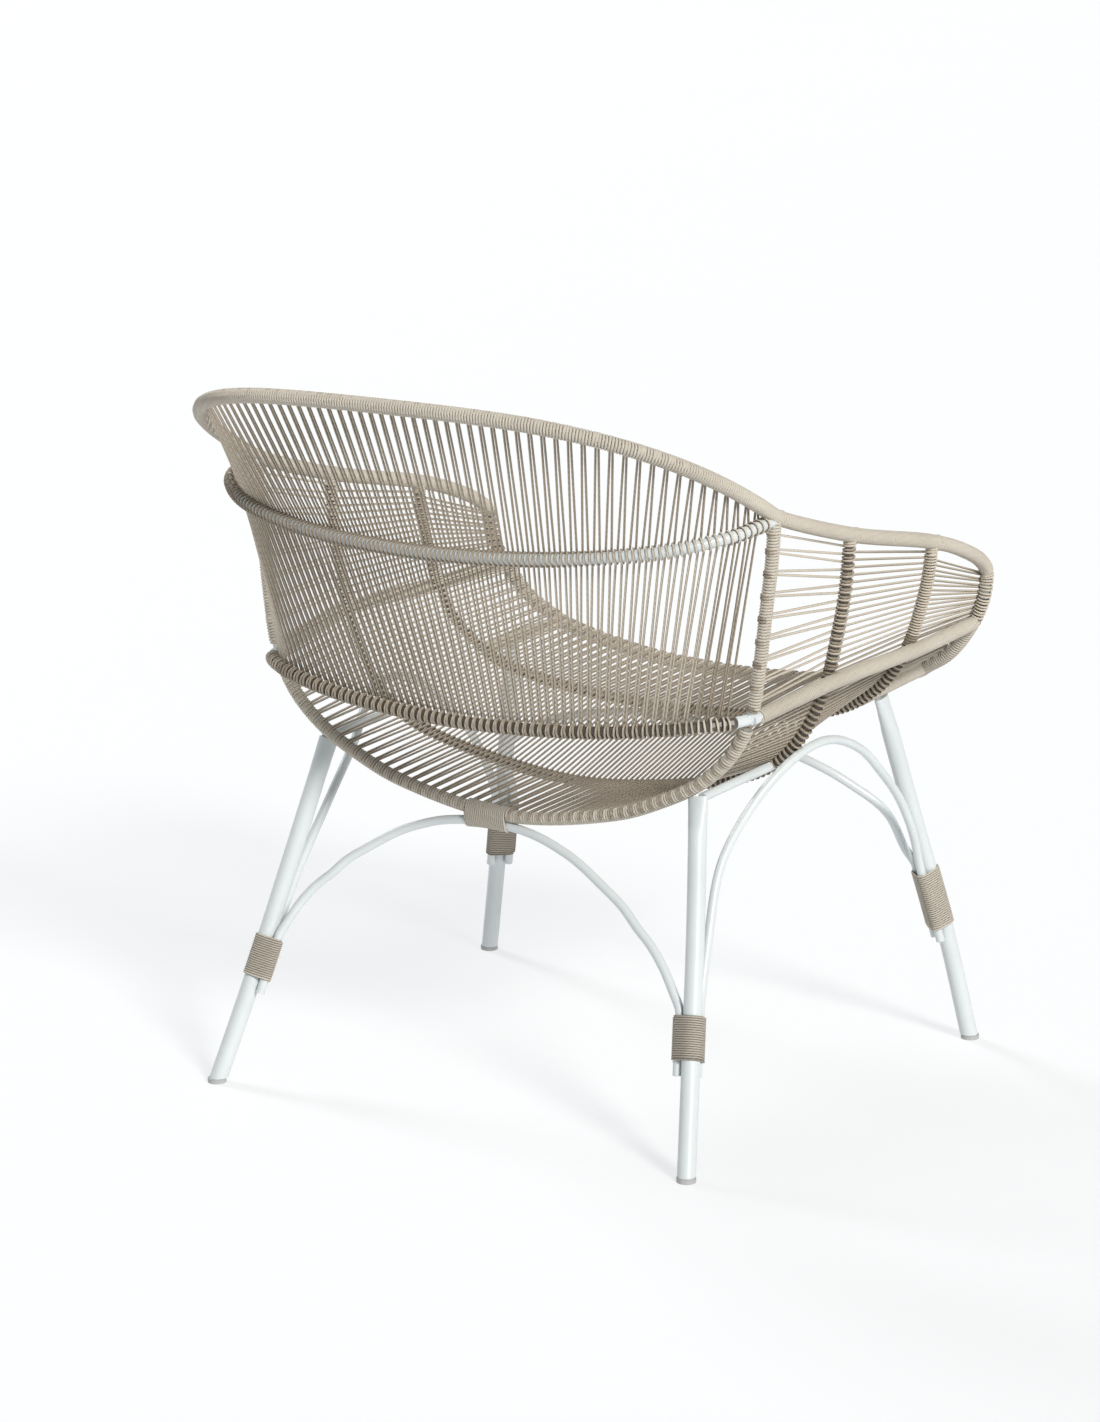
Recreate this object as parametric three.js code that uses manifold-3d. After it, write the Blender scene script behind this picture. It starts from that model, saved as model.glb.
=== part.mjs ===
// Low garden armchair: a welded steel frame whose back, sides and seat are strung with round cord.
// Millimetres, Z up. X runs across the seat, the sitter faces -Y, and the floor is Z = 0.
// The origin lies on the floor in the middle of the chair's plan.
import * as THREE from "three";
import { mergeVertices } from "three/addons/utils/BufferGeometryUtils.js";
import Module from "manifold-3d";

const wasm = await Module();
wasm.setup();

// Stock: the diameters of the tubes, rods and cord
const rimTube = 12;
const backTube = 12;
const sideTube = 12;
const hoopRod = 10;
const archRod = 10;
const strutRod = 10;
const legTube = 20;
const cordSize = 2.3;

// Clearances
const weldGap = 0.3;
const rodGap = 0.6;
const cordGap = 0.4;
const cutterReach = 60;

// Where the hoops and the rim stand along the chair
const rearHoopY = 134;
const middleHoopY = -16;
const foreHoopY = -199;
const noseY = -345;
const frontEdgeY = -365;

// Rim: the tube that runs round the back, along the arms and down the nose to the seat's front edge
const rimHalfWidth = 330;
const rimBackDepth = 235;
const postTopHeight = 688;
const backRise = 118;
const noseJointHeight = 518;
const frontEdgeHeight = 386;
const rimPowers = [0.614, 0.804, 0.8];
// Arm stations: shares of the run from post to nose, of the drop, and of the half width
const armShares = [
  [0.313, 0.253, 1.021],
  [0.695, 0.476, 1.03],
  [0.841, 0.594, 1.027],
  [0.956, 0.729, 1.021],
  [0.994, 0.818, 1.015],
];
const noseWidthShare = 1.003;
// Front edge: shares of the nose's half width, of the height up to the nose joint, and of the run forward
const frontEdgeShares = [
  [0.944, 0.715, 0.26],
  [0.856, 0.45, 0.56],
  [0.766, 0.303, 0.84],
  [0.719, 0.233, 1],
  [0.38, 0.055, 1],
];

// Back rails: the arc that starts just below the posts' tops, and the one at the foot of the back,
// as shares of the rim's half width, of its depth behind the posts and of its rise
const midRail = {
  endDrop: 4.5, widthShare: 0.997, depthShare: 0.7064, riseShare: -0.339, powers: [1.01, 0.741, 1.246],
};
const lowRail = { widthShare: 0.9152, depthShare: 0.3851, riseShare: -0.1915, powers: [0.956, 0.92, 2.328] };

// Hoops: U-shaped rods under the seat from arm to arm, as shares of their half width and height
const hoops = {
  rear: {
    y: rearHoopY,
    bellyHeight: 323,
    outlineShares: [
      [0.42, 0.058], [0.58, 0.112], [0.73, 0.184], [0.833, 0.265], [0.893, 0.345],
      [0.93, 0.435], [0.952, 0.56], [0.972, 0.72], [0.99, 0.86],
    ],
  },
  middle: {
    y: middleHoopY,
    bellyHeight: 329,
    outlineShares: [
      [0.33, 0.036], [0.6, 0.1], [0.733, 0.166], [0.816, 0.253], [0.884, 0.37],
      [0.925, 0.487], [0.961, 0.657], [0.985, 0.8],
    ],
  },
  fore: {
    y: foreHoopY,
    bellyHeight: 379,
    outlineShares: [
      [0.3, 0.015], [0.567, 0.069], [0.7, 0.134], [0.771, 0.198], [0.835, 0.278],
      [0.883, 0.372], [0.93, 0.51], [0.965, 0.68], [0.988, 0.83],
    ],
  },
};

// Side rails and the struts under the seat, which stand in by a share of the rim's half width
const sideRailHeights = { rear: 470, middle: 488, fore: 489, front: 488 };
const sideRailInset = 2;
const strutWidthShares = { rear: 0.7394, middle: 0.7455, fore: 0.7576, front: 0.7455 };
const rearStrutHeight = 377;

// Legs: the feet, where the tops meet the frame, and the bend on the way up as shares of the way out
// to the foot, of the way back or ahead to it, and of the height
const footY = { rear: 260, front: -335 };
const footWidthShares = { rear: 0.9242, front: 1.0061 };
const rearLegLap = 4;
const rearLegLean = 5;
const frontLegShare = 0.362;
const frontLegDrop = 9;
const legBendShares = {
  rear: [[0.6818, 0.6692, 0.3077], [0.3636, 0.3385, 0.6366]],
  front: [[0.6988, 0.7632, 0.316], [0.3253, 0.3816, 0.6667]],
};
const pinchRun = 45;
const pinchShare = 0.6;
const glideHeight = 5;
const glideDiameter = 21;
const glideEdge = 1.5;

// Bindings: where they start up the leg's axis or across the seat, their length and their turns
const legBindings = {
  rear: { start: 124, length: 50, loops: 10 },
  front: { start: 141, length: 72, loops: 12 },
};
const crownBindings = {
  rear: { centreX: 23, length: 56, loops: 11 },
  front: { centreX: 0, length: 56, loops: 11 },
};
const rodTip = 14;

// Cross arches: shares of the half width and of the rise above the bindings
const rearArchShares = [
  [0.97, 0.085], [0.905, 0.25], [0.835, 0.38], [0.765, 0.475], [0.689, 0.591], [0.578, 0.709],
  [0.465, 0.82], [0.378, 0.885], [0.22, 0.965],
];
const frontArchShares = [
  [0.975, 0.13], [0.965, 0.29], [0.955, 0.379], [0.936, 0.449], [0.902, 0.515], [0.811, 0.629],
  [0.724, 0.719], [0.6, 0.807], [0.43, 0.89], [0.22, 0.965],
];
// Side arches: shares of the run from rear leg to front leg, of the rise, and of the swing sideways
const sideArchShares = [
  [0.065, 0.26, -0.4], [0.164, 0.564, -0.9], [0.287, 0.785, -0.75], [0.371, 0.92, -0.3], [0.457, 0.997, 0.08],
  [0.56, 0.991, 0.15], [0.676, 0.89, 0.22], [0.783, 0.712, 0.13], [0.883, 0.499, 0.05], [0.959, 0.241, 0],
];
const sideArchHeight = 404;
const sideArchSwing = 25;

// Strings: how many cords, how near to a joint, how high up the nose, and how closely a pair is drawn together
const sideCordCount = 12;
const seatCordCount = 16;
const backCordCount = 12;
const backSectorCount = 6;
const armMargin = 19;
const railMargin = 10;
const backMargin = 34;
const noseStringShare = 0.1765;
const pairShare = 0.5;
const leastPairing = 3.6;

// Facets: sides of a section and steps along a piece
const tubeSides = 8;
const archSides = 6;
const legSides = 12;
const cordSides = 3;
const bindingSteps = 8;
const rimSteps = 72;
const edgeSteps = 32;
const hoopSteps = 36;
const backSteps = 28;
const railSteps = 12;
const legSteps = 10;
const archSteps = 40;

const steel = { color: 0xd9dfe0, roughness: 0.42, metalness: 0.05 };
const cordage = { color: 0xd6cdbb, roughness: 0.72, metalness: 0 };
const plastic = { color: 0xc4c8c6, roughness: 0.6, metalness: 0 };

const chair = new THREE.Group();
const up = new THREE.Vector3(0, 0, 1);
const ahead = new THREE.Vector3(0, -1, 0);
const sides = { right: -1, left: 1 };

function add(name, geometry, finish) {
  const mesh = new THREE.Mesh(geometry, new THREE.MeshStandardMaterial(finish));
  mesh.name = name;
  chair.add(mesh);
  return mesh;
}

// Curves

const vector = (x, y, z) => new THREE.Vector3(x, y, z);
const mirrored = (point, side = sides.right) => vector(point.x * side, point.y, point.z);

function smooth(points, closed = false) {
  const curve = new THREE.CatmullRomCurve3(points, closed, "centripetal");
  curve.arcLengthDivisions = points.length * 40;
  return curve;
}

// A stretch of a closed curve between two of its shares of length, which may run past its seam
class Stretch extends THREE.Curve {
  constructor(whole, from, to) {
    super();
    Object.assign(this, { whole, from, to });
  }

  getPoint(share, target = new THREE.Vector3()) {
    const along = this.from + (this.to - this.from) * share;
    return target.copy(this.whole.getPointAt(((along % 1) + 1) % 1));
  }
}

// The line that a tube's facets follow, straight from one step of its curve to the next
class Facets {
  constructor(points) {
    this.points = points;
    this.marks = [0];
    points.slice(1).forEach((point, i) => this.marks.push(this.marks[i] + point.distanceTo(points[i])));
    this.length = this.marks[this.marks.length - 1];
  }

  // The number of the facet that holds a share of the length, and the share of that facet
  facet(share) {
    const distance = THREE.MathUtils.clamp(share, 0, 1) * this.length;
    const i = Math.max(this.marks.findIndex((mark) => mark >= distance), 1);
    return [i, (distance - this.marks[i - 1]) / (this.marks[i] - this.marks[i - 1])];
  }

  direction(facet) {
    const i = THREE.MathUtils.clamp(facet, 1, this.points.length - 1);
    return this.points[i].clone().sub(this.points[i - 1]).normalize();
  }

  getPointAt(share) {
    const [i, along] = this.facet(share);
    return this.points[i - 1].clone().lerp(this.points[i], along);
  }

  // The direction turns evenly from the middle of one facet to the middle of the next
  getTangentAt(share) {
    const [i, along] = this.facet(share);
    const next = along < 1 / 2 ? i : i + 1;
    return this.direction(next - 1).lerp(this.direction(next), (along + 1 / 2) % 1).normalize();
  }
}

// The share of a curve, between two others, where a coordinate takes a value
function shareWhere(curve, axis, value, from = 0, to = 1) {
  const rising = curve.getPointAt(to)[axis] > curve.getPointAt(from)[axis];
  let [low, high] = [from, to];
  for (let i = 0; i < 40; i++) {
    const middle = (low + high) / 2;
    if ((curve.getPointAt(middle)[axis] < value) === rising) low = middle;
    else high = middle;
  }
  return (low + high) / 2;
}

// Solids

function polygon(radius, count) {
  return Array.from({ length: count }, (_, i) => {
    const turn = (2 * Math.PI * i) / count;
    return new THREE.Vector2(radius * Math.cos(turn), radius * Math.sin(turn));
  });
}

function tube(path, diameter, steps, sideCount = tubeSides) {
  const section = new THREE.Shape(polygon(diameter / 2, sideCount));
  return new THREE.ExtrudeGeometry(section, { extrudePath: path, steps, bevelEnabled: false });
}

// A bent tube or rod: its solid, what it cuts out of a piece that butts against it, and its faceted line
function bar(path, diameter, steps, sideCount = tubeSides) {
  return {
    solid: tube(path, diameter, steps, sideCount),
    cutter: tube(path, diameter + 2 * weldGap, steps, sideCount),
    line: new Facets(path.getSpacedPoints(steps)),
  };
}

function solidOf(geometry) {
  const bare = geometry.clone();
  bare.deleteAttribute("normal");
  bare.deleteAttribute("uv");
  const merged = mergeVertices(bare);
  return new wasm.Manifold(new wasm.Mesh({
    numProp: 3,
    vertProperties: merged.attributes.position.array,
    triVerts: new Uint32Array(merged.index.array),
  }));
}

function geometryOf(solid) {
  const mesh = solid.getMesh();
  const geometry = new THREE.BufferGeometry();
  geometry.setAttribute("position", new THREE.BufferAttribute(new Float32Array(mesh.vertProperties), 3));
  geometry.setIndex(new THREE.BufferAttribute(new Uint32Array(mesh.triVerts), 1));
  geometry.computeVertexNormals();
  return geometry;
}

// What is left of a piece where its neighbours are cut out of it, without the offcut
function cope(geometry, ...cutters) {
  const cut = cutters.reduce((rest, cutter) => rest.subtract(solidOf(cutter)), solidOf(geometry));
  const [largest] = cut.decompose().sort((a, b) => b.volume() - a.volume());
  return geometryOf(largest);
}

// A cord along a polyline, mitred at every corner so that its section stays the same
function cord(points, diameter, sideCount = cordSides) {
  const section = polygon(diameter / 2, sideCount);
  const runs = points.slice(1).map((point, i) => point.clone().sub(points[i]).normalize());
  const across = vector(runs[0].y, -runs[0].x, 0);
  if (across.lengthSq() < Number.EPSILON) across.set(1, 0, 0);
  across.normalize();
  const positions = [];
  points.forEach((point, i) => {
    const before = runs[Math.max(i - 1, 0)];
    const after = runs[Math.min(i, runs.length - 1)];
    const mitre = before.clone().add(after).normalize();
    const beside = before.clone().cross(across);
    for (const { x, y } of section) {
      const offset = across.clone().multiplyScalar(x).addScaledVector(beside, y);
      offset.addScaledVector(before, -offset.dot(mitre) / before.dot(mitre));
      positions.push(...offset.add(point).toArray());
    }
    across.applyQuaternion(new THREE.Quaternion().setFromUnitVectors(before, after));
  });
  const faces = [];
  for (let i = 0; i < points.length - 1; i++) {
    for (let j = 0; j < sideCount; j++) {
      const [a, b] = [i * sideCount + j, i * sideCount + ((j + 1) % sideCount)];
      faces.push(a, b, b + sideCount, a, b + sideCount, a + sideCount);
    }
  }
  const last = (points.length - 1) * sideCount;
  for (let j = 1; j < sideCount - 1; j++) {
    faces.push(0, j + 1, j, last, last + j, last + j + 1);
  }
  const geometry = new THREE.BufferGeometry();
  geometry.setAttribute("position", new THREE.Float32BufferAttribute(positions, 3));
  geometry.setIndex(faces);
  geometry.computeVertexNormals();
  return geometry;
}

// The least gap that a cord keeps to itself, measured on points along it that lie a few diameters apart
function leastGap(points, diameter) {
  const line = new Facets(points);
  const count = Math.ceil((2 * line.length) / diameter);
  const samples = Array.from({ length: count + 1 }, (_, i) => line.getPointAt(i / count));
  let least = Infinity;
  samples.forEach((point, i) => {
    for (let j = i + 12; j < samples.length; j++) {
      least = Math.min(least, point.distanceToSquared(samples[j]));
    }
  });
  return Math.sqrt(least) - diameter;
}

function addCord(name, points) {
  add(name, cord(points, cordSize), cordage);
  console.log(`${name}: least gap to itself ${leastGap(points, cordSize).toFixed(2)} mm`);
}

// Rim

const quarterTurn = Math.PI / 2;
const power = (value, exponent) => Math.sign(value) * Math.abs(value) ** exponent;

// Points round the back from post to post, crowded towards the posts where the rails turn in
function backArc(count, { halfWidth, depth, endHeight, rise, powers: [widthPower, depthPower, risePower] }) {
  return Array.from({ length: count + 1 }, (_, i) => {
    const turn = quarterTurn * Math.sin(quarterTurn * ((2 * i) / count - 1));
    const cosine = i % count === 0 ? 0 : Math.cos(turn);
    return vector(
      halfWidth * power(Math.sin(turn), widthPower),
      rearHoopY + depth * power(cosine, depthPower),
      endHeight + rise * power(cosine, risePower),
    );
  });
}

function rimCurve() {
  const back = backArc(14, {
    halfWidth: rimHalfWidth, depth: rimBackDepth, endHeight: postTopHeight, rise: backRise, powers: rimPowers,
  });
  const drop = postTopHeight - noseJointHeight;
  const arm = armShares.map(([run, fall, width]) =>
    vector(rimHalfWidth * width, rearHoopY + (noseY - rearHoopY) * run, postTopHeight - drop * fall));
  const joint = vector(rimHalfWidth * noseWidthShare, noseY, noseJointHeight);
  const edge = frontEdgeShares.map(([width, height, run]) => vector(
    joint.x * width,
    noseY + (frontEdgeY - noseY) * run,
    frontEdgeHeight + (noseJointHeight - frontEdgeHeight) * height,
  ));
  const left = [...arm, joint, ...edge];
  const right = left.map((point) => mirrored(point)).reverse();
  return smooth([vector(0, frontEdgeY, frontEdgeHeight), ...right, ...back, ...left], true);
}

// Along the rim the front's middle is 0 and the back's middle a half, and the left side lies past it
const rim = rimCurve();
const jointShare = shareWhere(rim, "z", noseJointHeight, 0.6, 0.95);
const jointGapShare = weldGap / 2 / rim.getLength();
const topRail = bar(new Stretch(rim, 1 - jointShare + jointGapShare, jointShare - jointGapShare), rimTube, rimSteps);
const frontBow = bar(new Stretch(rim, jointShare + jointGapShare, 2 - jointShare - jointGapShare), rimTube, edgeSteps);
add("top_rail", topRail.solid, steel);
add("front_bow", frontBow.solid, steel);

// The rim's faceted line from the middle of the back over the left arm and the front edge, and back again
const rimMiddle = rimSteps / 2;
const rimLine = new Facets([
  ...topRail.line.points.slice(rimMiddle),
  ...frontBow.line.points,
  ...topRail.line.points.slice(0, rimMiddle + 1),
]);
const rimShareAt = (axis, value) => shareWhere(rimLine, axis, value, 0, 0.5);
const rimAt = (axis, value) => rimLine.getPointAt(rimShareAt(axis, value));

// Hoops and back rails

function hoopBar({ y, bellyHeight, outlineShares }) {
  const head = rimAt("y", y);
  const rise = head.z - bellyHeight;
  const shares = [...outlineShares, [1, 1]];
  const left = shares.map(([width, height]) => vector(head.x * width, y, bellyHeight + rise * height));
  const right = left.map((point) => mirrored(point));
  return bar(smooth([...left.reverse(), vector(0, y, bellyHeight), ...right]), hoopRod, hoopSteps);
}

const hoopBars = Object.fromEntries(Object.entries(hoops).map(([name, hoop]) => [name, hoopBar(hoop)]));
for (const [name, hoop] of Object.entries(hoopBars)) {
  add(`${name}_hoop`, cope(hoop.solid, topRail.cutter), steel);
}

function backBar({ widthShare, depthShare, riseShare, powers }, endHeight) {
  const arc = {
    halfWidth: rimHalfWidth * widthShare, depth: rimBackDepth * depthShare, endHeight, rise: backRise * riseShare, powers,
  };
  return bar(smooth(backArc(10, arc)), backTube, backSteps);
}

const midBar = backBar(midRail, postTopHeight - midRail.endDrop);
const lowBar = backBar(lowRail, sideRailHeights.rear);
add("back_mid_rail", cope(midBar.solid, topRail.cutter, hoopBars.rear.cutter), steel);
add("back_low_rail", cope(lowBar.solid, hoopBars.rear.cutter), steel);

// Side rails and struts

const leftShare = (line, axis, value) => shareWhere(line, axis, value, 0, 0.5);

// The way out of the seat at a point of a hoop or of the rim, square to the tube
function outward(point, tangent) {
  const out = vector(point.x, 0, point.z - postTopHeight);
  return out.addScaledVector(tangent, -out.dot(tangent)).normalize();
}

function beside(line, z, distance) {
  const share = leftShare(line, "z", z);
  const point = line.getPointAt(share);
  return point.addScaledVector(outward(point, line.getTangentAt(share)), distance);
}

const railOffset = (hoopRod + sideTube) / 2 + weldGap;
const sideRailPoints = [
  beside(hoopBars.rear.line, sideRailHeights.rear, sideRailInset),
  beside(hoopBars.middle.line, sideRailHeights.middle, railOffset),
  beside(hoopBars.fore.line, sideRailHeights.fore, railOffset),
  beside(rimLine, sideRailHeights.front, sideRailInset),
];
const hoopAcross = (name, x) => {
  const { line } = hoopBars[name];
  return line.getPointAt(leftShare(line, "x", x));
};
const bowAcross = (x) => rimLine.getPointAt(shareWhere(rimLine, "x", x, rimShareAt("z", noseJointHeight), 0.5));
const rearStrutX = rimHalfWidth * strutWidthShares.rear;
const strutPoints = {
  middle: hoopAcross("middle", rimHalfWidth * strutWidthShares.middle),
  fore: hoopAcross("fore", rimHalfWidth * strutWidthShares.fore),
  front: bowAcross(rimHalfWidth * strutWidthShares.front),
};

// Legs

// The left-hand legs: the rear one ends beside the rear hoop, and the front one ends under the front strut
const legTops = {
  rear: vector(rearStrutX - rearLegLean, rearHoopY - rearLegLap, rearStrutHeight),
  front: strutPoints.fore.clone().lerp(strutPoints.front, frontLegShare).addScaledVector(up, -frontLegDrop),
};

function legAxis(end) {
  const top = legTops[end];
  const foot = vector(rimHalfWidth * footWidthShares[end], footY[end], 0);
  const bend = legBendShares[end].map(([out, away, height]) => vector(
    top.x + (foot.x - top.x) * out,
    top.y + (foot.y - top.y) * away,
    top.z * height,
  ));
  return smooth([foot, ...bend, top]);
}

const legCurves = { rear: legAxis("rear"), front: legAxis("front") };
const mirroredCurve = (curve, side) => smooth(curve.points.map((point) => mirrored(point, side)));

// A leg's tube flattened towards its top, thin one way and wider the other
function pinched(geometry, curve, thin) {
  const position = geometry.attributes.position;
  const top = curve.getPointAt(1);
  const along = curve.getTangentAt(1);
  const flat = thin.clone().addScaledVector(along, -thin.dot(along)).normalize();
  const wide = along.clone().cross(flat);
  for (let i = 0; i < position.count; i++) {
    const offset = new THREE.Vector3().fromBufferAttribute(position, i).sub(top);
    const share = THREE.MathUtils.clamp(1 + offset.dot(along) / pinchRun, 0, 1);
    offset.addScaledVector(flat, -offset.dot(flat) * share * (1 - pinchShare));
    offset.addScaledVector(wide, offset.dot(wide) * share * (1 - pinchShare) / 2);
    position.setXYZ(i, ...offset.add(top).toArray());
  }
  return geometry;
}

// A leg's tube runs on below its foot, so that the floor cut leaves a level end
function legTubeAlong(curve, diameter, thin) {
  const [foot, down] = [curve.getPointAt(0), curve.getTangentAt(0)];
  const line = smooth([foot.clone().addScaledVector(down, -legTube / 2), ...curve.points]);
  return pinched(tube(line, diameter, legSteps, legSides), curve, thin);
}

function floorCutter(foot) {
  const block = new THREE.BoxGeometry(cutterReach, cutterReach, cutterReach);
  return block.translate(foot.x, foot.y, glideHeight + weldGap - cutterReach / 2);
}

const glideProfile = [
  new THREE.Vector2(0, 0),
  new THREE.Vector2(glideDiameter / 2 - glideEdge, 0),
  new THREE.Vector2(glideDiameter / 2, glideEdge),
  new THREE.Vector2(glideDiameter / 2, glideHeight),
  new THREE.Vector2(0, glideHeight),
];

for (const [sideName, side] of Object.entries(sides)) {
  const at = (point) => mirrored(point, side);
  const rail = tube(smooth(sideRailPoints.map(at)), sideTube, railSteps);
  add(`side_rail_${sideName}`, cope(rail, hoopBars.rear.cutter, frontBow.cutter), steel);

  const legThin = { rear: ahead, front: vector(1, 0, 0) };
  const axes = { rear: mirroredCurve(legCurves.rear, side), front: mirroredCurve(legCurves.front, side) };
  const rearTop = axes.rear.getPointAt(shareWhere(axes.rear, "z", rearStrutHeight));
  const [middleEnd, foreEnd, frontEnd] = [strutPoints.middle, strutPoints.fore, strutPoints.front].map(at);
  const strut = (from, to) => bar(new THREE.LineCurve3(from, to), strutRod, 1);
  const struts = {
    rear: strut(at(vector(rearStrutX, rearTop.y, rearStrutHeight)), middleEnd),
    front: strut(foreEnd, frontEnd),
  };
  const rearLegCutter = legTubeAlong(axes.rear, legTube + 2 * weldGap, legThin.rear);
  add(`rear_strut_${sideName}`,
    cope(struts.rear.solid, rearLegCutter, hoopBars.rear.cutter, hoopBars.middle.cutter), steel);
  add(`front_strut_${sideName}`, cope(struts.front.solid, hoopBars.fore.cutter, frontBow.cutter), steel);

  const legCutters = { rear: hoopBars.rear.cutter, front: struts.front.cutter };
  for (const [end, axis] of Object.entries(axes)) {
    const foot = axis.getPointAt(0);
    const leg = legTubeAlong(axis, legTube, legThin[end]);
    add(`${end}_leg_${sideName}`, cope(leg, legCutters[end], floorCutter(foot)), steel);
    const glide = add(`${end}_glide_${sideName}`, new THREE.LatheGeometry(glideProfile, legSides), plastic);
    glide.rotation.x = quarterTurn;
    glide.position.set(foot.x, foot.y, 0);
  }
}

// Arches

const towardsNext = { rear: -1, front: 1 };
const rodOffset = (legTube + archRod) / 2 + rodGap;

// A leg at a distance up its axis: the axis, the way to the chair's middle and the way to the next leg
function legFrame(end, distance, side = sides.left) {
  const curve = legCurves[end];
  const share = distance / curve.getLength();
  const origin = curve.getPointAt(share);
  const axis = curve.getTangentAt(share);
  const inward = vector(-1, 0, 0).addScaledVector(axis, axis.x).normalize();
  const next = axis.clone().cross(inward).multiplyScalar(-towardsNext[end]).negate();
  if (next.y * towardsNext[end] < 0) next.negate();
  return Object.fromEntries(Object.entries({ origin, axis, inward, next })
    .map(([key, value]) => [key, mirrored(value, side)]));
}

// The foot of an arch beside a leg, from its tip below the binding to the binding's top
function archFoot(end, direction) {
  const { start, length } = legBindings[end];
  return [-rodTip, 0, length / 3, (2 * length) / 3, length + 2 * cordSize].map((height) => {
    const frame = legFrame(end, start + height);
    return frame.origin.addScaledVector(frame[direction], rodOffset);
  });
}

// A cross arch rises from both legs of a pair to its crown under the belly of a hoop, and leans to one side
function crossArch(end, { y, bellyHeight }, outlineShares) {
  const foot = archFoot(end, "inward");
  const top = foot[foot.length - 1];
  const lean = crownBindings[end].centreX;
  const crown = vector(lean, y, bellyHeight - (hoopRod + archRod) / 2 - weldGap);
  const limb = (side) => outlineShares.map(([width, height]) => vector(
    top.x * width * side + lean * height,
    top.y + (crown.y - top.y) * height,
    top.z + (crown.z - top.z) * height,
  ));
  const left = [...foot, ...limb(sides.left)];
  const right = [...foot.map((point) => mirrored(point)), ...limb(sides.right)].reverse();
  return bar(smooth([...left, crown, ...right]), archRod, archSteps, archSides);
}

// A side arch rises from the rear leg and the front leg, swings in behind and passes outside the middle hoop
function sideArchPoints() {
  const [rearFoot, frontFoot] = [archFoot("rear", "next"), archFoot("front", "next").reverse()];
  const [start, end] = [rearFoot[rearFoot.length - 1], frontFoot[0]];
  const limb = sideArchShares.map(([run, height, swing]) => {
    const base = start.clone().lerp(end, run);
    return base.add(vector(sideArchSwing * swing, 0, (sideArchHeight - base.z) * height));
  });
  return [...rearFoot, ...limb, ...frontFoot];
}

const crossArches = {
  rear: crossArch("rear", hoops.rear, rearArchShares),
  front: crossArch("front", hoops.fore, frontArchShares),
};
for (const [end, arch] of Object.entries(crossArches)) add(`${end}_arch`, arch.solid, steel);
for (const [sideName, side] of Object.entries(sides)) {
  const line = smooth(sideArchPoints().map((point) => mirrored(point, side)));
  add(`side_arch_${sideName}`, tube(line, archRod, archSteps, archSides), steel);
}

// Bindings

// The corners of a taut cord round a bundle of rods, seen along the bundle
function bundleCorner(rods, index) {
  const reach = (turn) => Math.max(...rods.map(({ x, y, radius }) =>
    x * Math.cos(turn) + y * Math.sin(turn) + radius)) + weldGap + cordSize / 2;
  const [a, b] = [index, index + 1].map((step) => (2 * Math.PI * step) / bindingSteps);
  const [p, q] = [reach(a), reach(b)];
  const turn = Math.sin(b - a);
  return {
    x: (p * Math.sin(b) - q * Math.sin(a)) / turn,
    y: (q * Math.cos(a) - p * Math.cos(b)) / turn,
  };
}

// A cord wound round a bundle: place gives the bundle's frame and its rods at a distance along it
function wound(name, { length, loops }, place) {
  const count = loops * bindingSteps;
  addCord(name, Array.from({ length: count + 1 }, (_, i) => {
    const { origin, first, second, rods } = place(cordSize / 2 + ((length - cordSize) * i) / count);
    const corner = bundleCorner(rods, i);
    return origin.clone().addScaledVector(first, corner.x).addScaledVector(second, corner.y);
  }));
}

const legBundle = [
  { x: 0, y: 0, radius: legTube / 2 },
  { x: rodOffset, y: 0, radius: archRod / 2 },
  { x: 0, y: rodOffset, radius: archRod / 2 },
];
for (const [sideName, side] of Object.entries(sides)) {
  for (const [end, binding] of Object.entries(legBindings)) {
    wound(`${end}_binding_${sideName}`, binding, (distance) => {
      const { origin, inward, next } = legFrame(end, binding.start + distance, side);
      return { origin, first: inward, second: next, rods: legBundle };
    });
  }
}

// Crown bindings: the cord round a hoop's belly and the crown of the arch under it
for (const [end, hoopName] of [["rear", "rear"], ["front", "fore"]]) {
  const [hoopLine, archLine] = [hoopBars[hoopName].line, crossArches[end].line];
  const binding = crownBindings[end];
  wound(`${end}_arch_binding`, binding, (distance) => {
    const x = binding.centreX - binding.length / 2 + distance;
    const origin = hoopLine.getPointAt(shareWhere(hoopLine, "x", x));
    const crown = archLine.getPointAt(shareWhere(archLine, "x", x)).sub(origin);
    const rods = [
      { x: 0, y: 0, radius: hoopRod / 2 },
      { x: crown.y, y: crown.z, radius: archRod / 2 },
    ];
    return { origin, first: vector(0, 1, 0), second: up, rods };
  });
}

// Strings

// How far a cord's centre lies from the line of what it crosses, and where a hook turns round it
const reachOver = (diameter) => (diameter + cordSize) / 2 + cordGap;
const hookTurns = [quarterTurn / 3, (quarterTurn * 19) / 18];
const hookBend = (hookTurns[1] - hookTurns[0]) / 2;

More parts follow.
